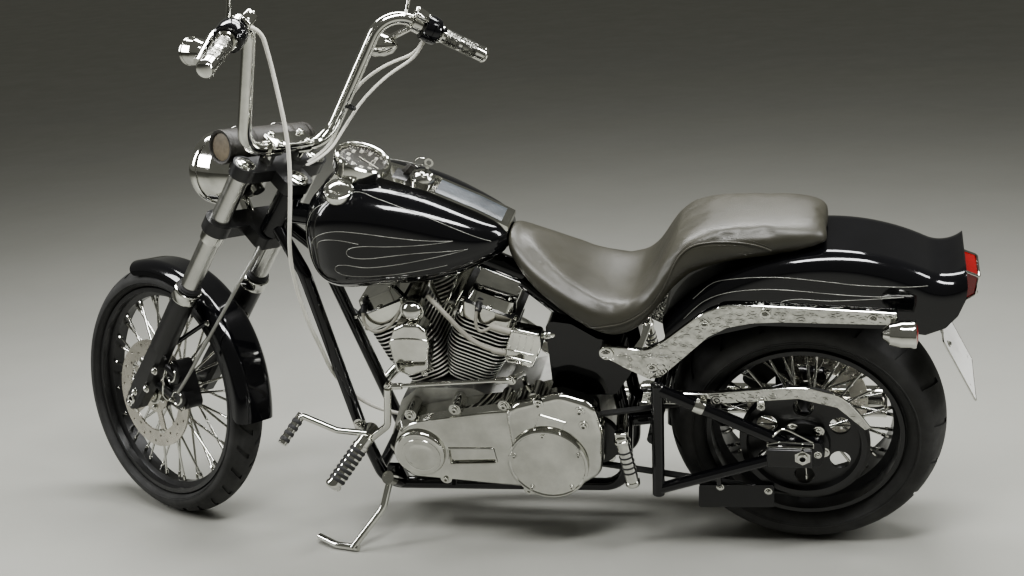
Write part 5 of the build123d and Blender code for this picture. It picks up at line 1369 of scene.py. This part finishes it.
class CRUISER_OT_stage(bpy.types.Operator):
    """Camera, floor, backdrop and soft studio light"""
    bl_idname = "cruiser.stage"
    bl_label = "Stage"

    def execute(self, context):
        bpy.ops.object.select_all(action="DESELECT")
        right = Vector((-0.97028, -0.21317, -0.11453))
        down = Vector((-0.00520, 0.49151, -0.87086))
        ahead = Vector((0.24193, -0.84438, -0.47801))
        bpy.ops.object.camera_add()
        camera = context.object
        camera.name = "stage_camera"
        camera.matrix_world = MACHINE @ axes(right, -down, -ahead, Vector((-0.146, 2.914, 2.321)))
        camera.data.lens, camera.data.sensor_width = sizes().lens, 36
        context.scene.camera = camera

        bpy.ops.mesh.primitive_plane_add(size=40)
        floor = context.object
        floor.name = "studio_floor"
        floor.data.materials.append(finish("studio_floor", colours().floor, (0.45, 0.6), tone=(0.97, 1.03),
            patch=1.5))

        world = bpy.data.worlds.new("studio_air")
        world.use_nodes = True
        tree = world.node_tree
        air = tree.nodes["Background"]
        air.inputs["Color"].default_value, air.inputs["Strength"].default_value = (0.50, 0.50, 0.45, 1), 0.30
        # Beyond the floor the camera sees a tone near that of its far edge
        ray, mix = node(tree, "ShaderNodeLightPath"), node(tree, "ShaderNodeMixShader")
        far = node(tree, "ShaderNodeBackground", Color=(0.056, 0.056, 0.050, 1), Strength=1.0)
        for a, b in ((ray.outputs["Is Camera Ray"], mix.inputs[0]), (air.outputs[0], mix.inputs[1]),
                     (far.outputs[0], mix.inputs[2]), (mix.outputs[0], tree.nodes["World Output"].inputs["Surface"])):
            tree.links.new(a, b)
        context.scene.world = world
        # name, place, aim, size, power
        lamps = (("key_panel", (-0.9, 1.5, 3.5), (0, 0, 0.6), (2.4, 0.5), 130),
                 ("side_panel", (3.4, 1.0, 2.4), (0.3, 0, 0.6), (0.8, 2.0), 90),
                 ("rear_panel", (-3.6, 0.2, 2.4), (-0.4, 0, 0.6), (0.6, 2.2), 90),
                 ("top_panel", (0.2, -1.0, 3.0), (0, 0, 0.5), (3.4, 0.6), 130))
        for name, place, aim, size, power in lamps:
            bpy.ops.object.light_add(type="AREA", location=place)
            lamp = context.object
            lamp.name = name
            lamp.data.shape, lamp.data.size, lamp.data.size_y = "RECTANGLE", *size
            lamp.data.energy = power
            lamp.rotation_euler = (Vector(aim) - Vector(place)).to_track_quat("-Z", "Y").to_euler()
        context.scene.view_settings.view_transform = "AgX"
        context.scene.view_settings.look = "AgX - Medium High Contrast"
        return {"FINISHED"}


# ---------------------------------------------------------------- panel and registration

OPERATORS = (CRUISER_OT_finishes, CRUISER_OT_stage, CRUISER_OT_tyres, CRUISER_OT_wheels, CRUISER_OT_fork,
    CRUISER_OT_lamps, CRUISER_OT_controls, CRUISER_OT_tank, CRUISER_OT_saddle, CRUISER_OT_roll, CRUISER_OT_engine,
    CRUISER_OT_pegs, CRUISER_OT_rear)


class CRUISER_PT_panel(bpy.types.Panel):
    """Lists the operators and their sizes"""
    bl_idname = "CRUISER_PT_panel"
    bl_label = "Raked Cruiser"
    bl_space_type = "VIEW_3D"
    bl_region_type = "UI"
    bl_category = "Cruiser"

    def draw(self, context):
        for group in (context.scene.cruiser_sizes, context.scene.cruiser_colours):
            for key in group.__annotations__:
                self.layout.prop(group, key)
        for operator in OPERATORS:
            self.layout.operator(operator.bl_idname)


CLASSES = (CruiserSizes, CruiserColours, *OPERATORS, CRUISER_PT_panel)


def register():
    for cls in CLASSES:
        bpy.utils.register_class(cls)
    bpy.types.Scene.cruiser_sizes = bpy.props.PointerProperty(type=CruiserSizes)
    bpy.types.Scene.cruiser_colours = bpy.props.PointerProperty(type=CruiserColours)


def unregister():
    del bpy.types.Scene.cruiser_colours, bpy.types.Scene.cruiser_sizes
    for cls in reversed(CLASSES):
        bpy.utils.unregister_class(cls)


def main():
    register()
    for operator in OPERATORS:
        family, action = operator.bl_idname.split(".")
        getattr(getattr(bpy.ops, family), action)()


if __name__ == "__main__":
    main()
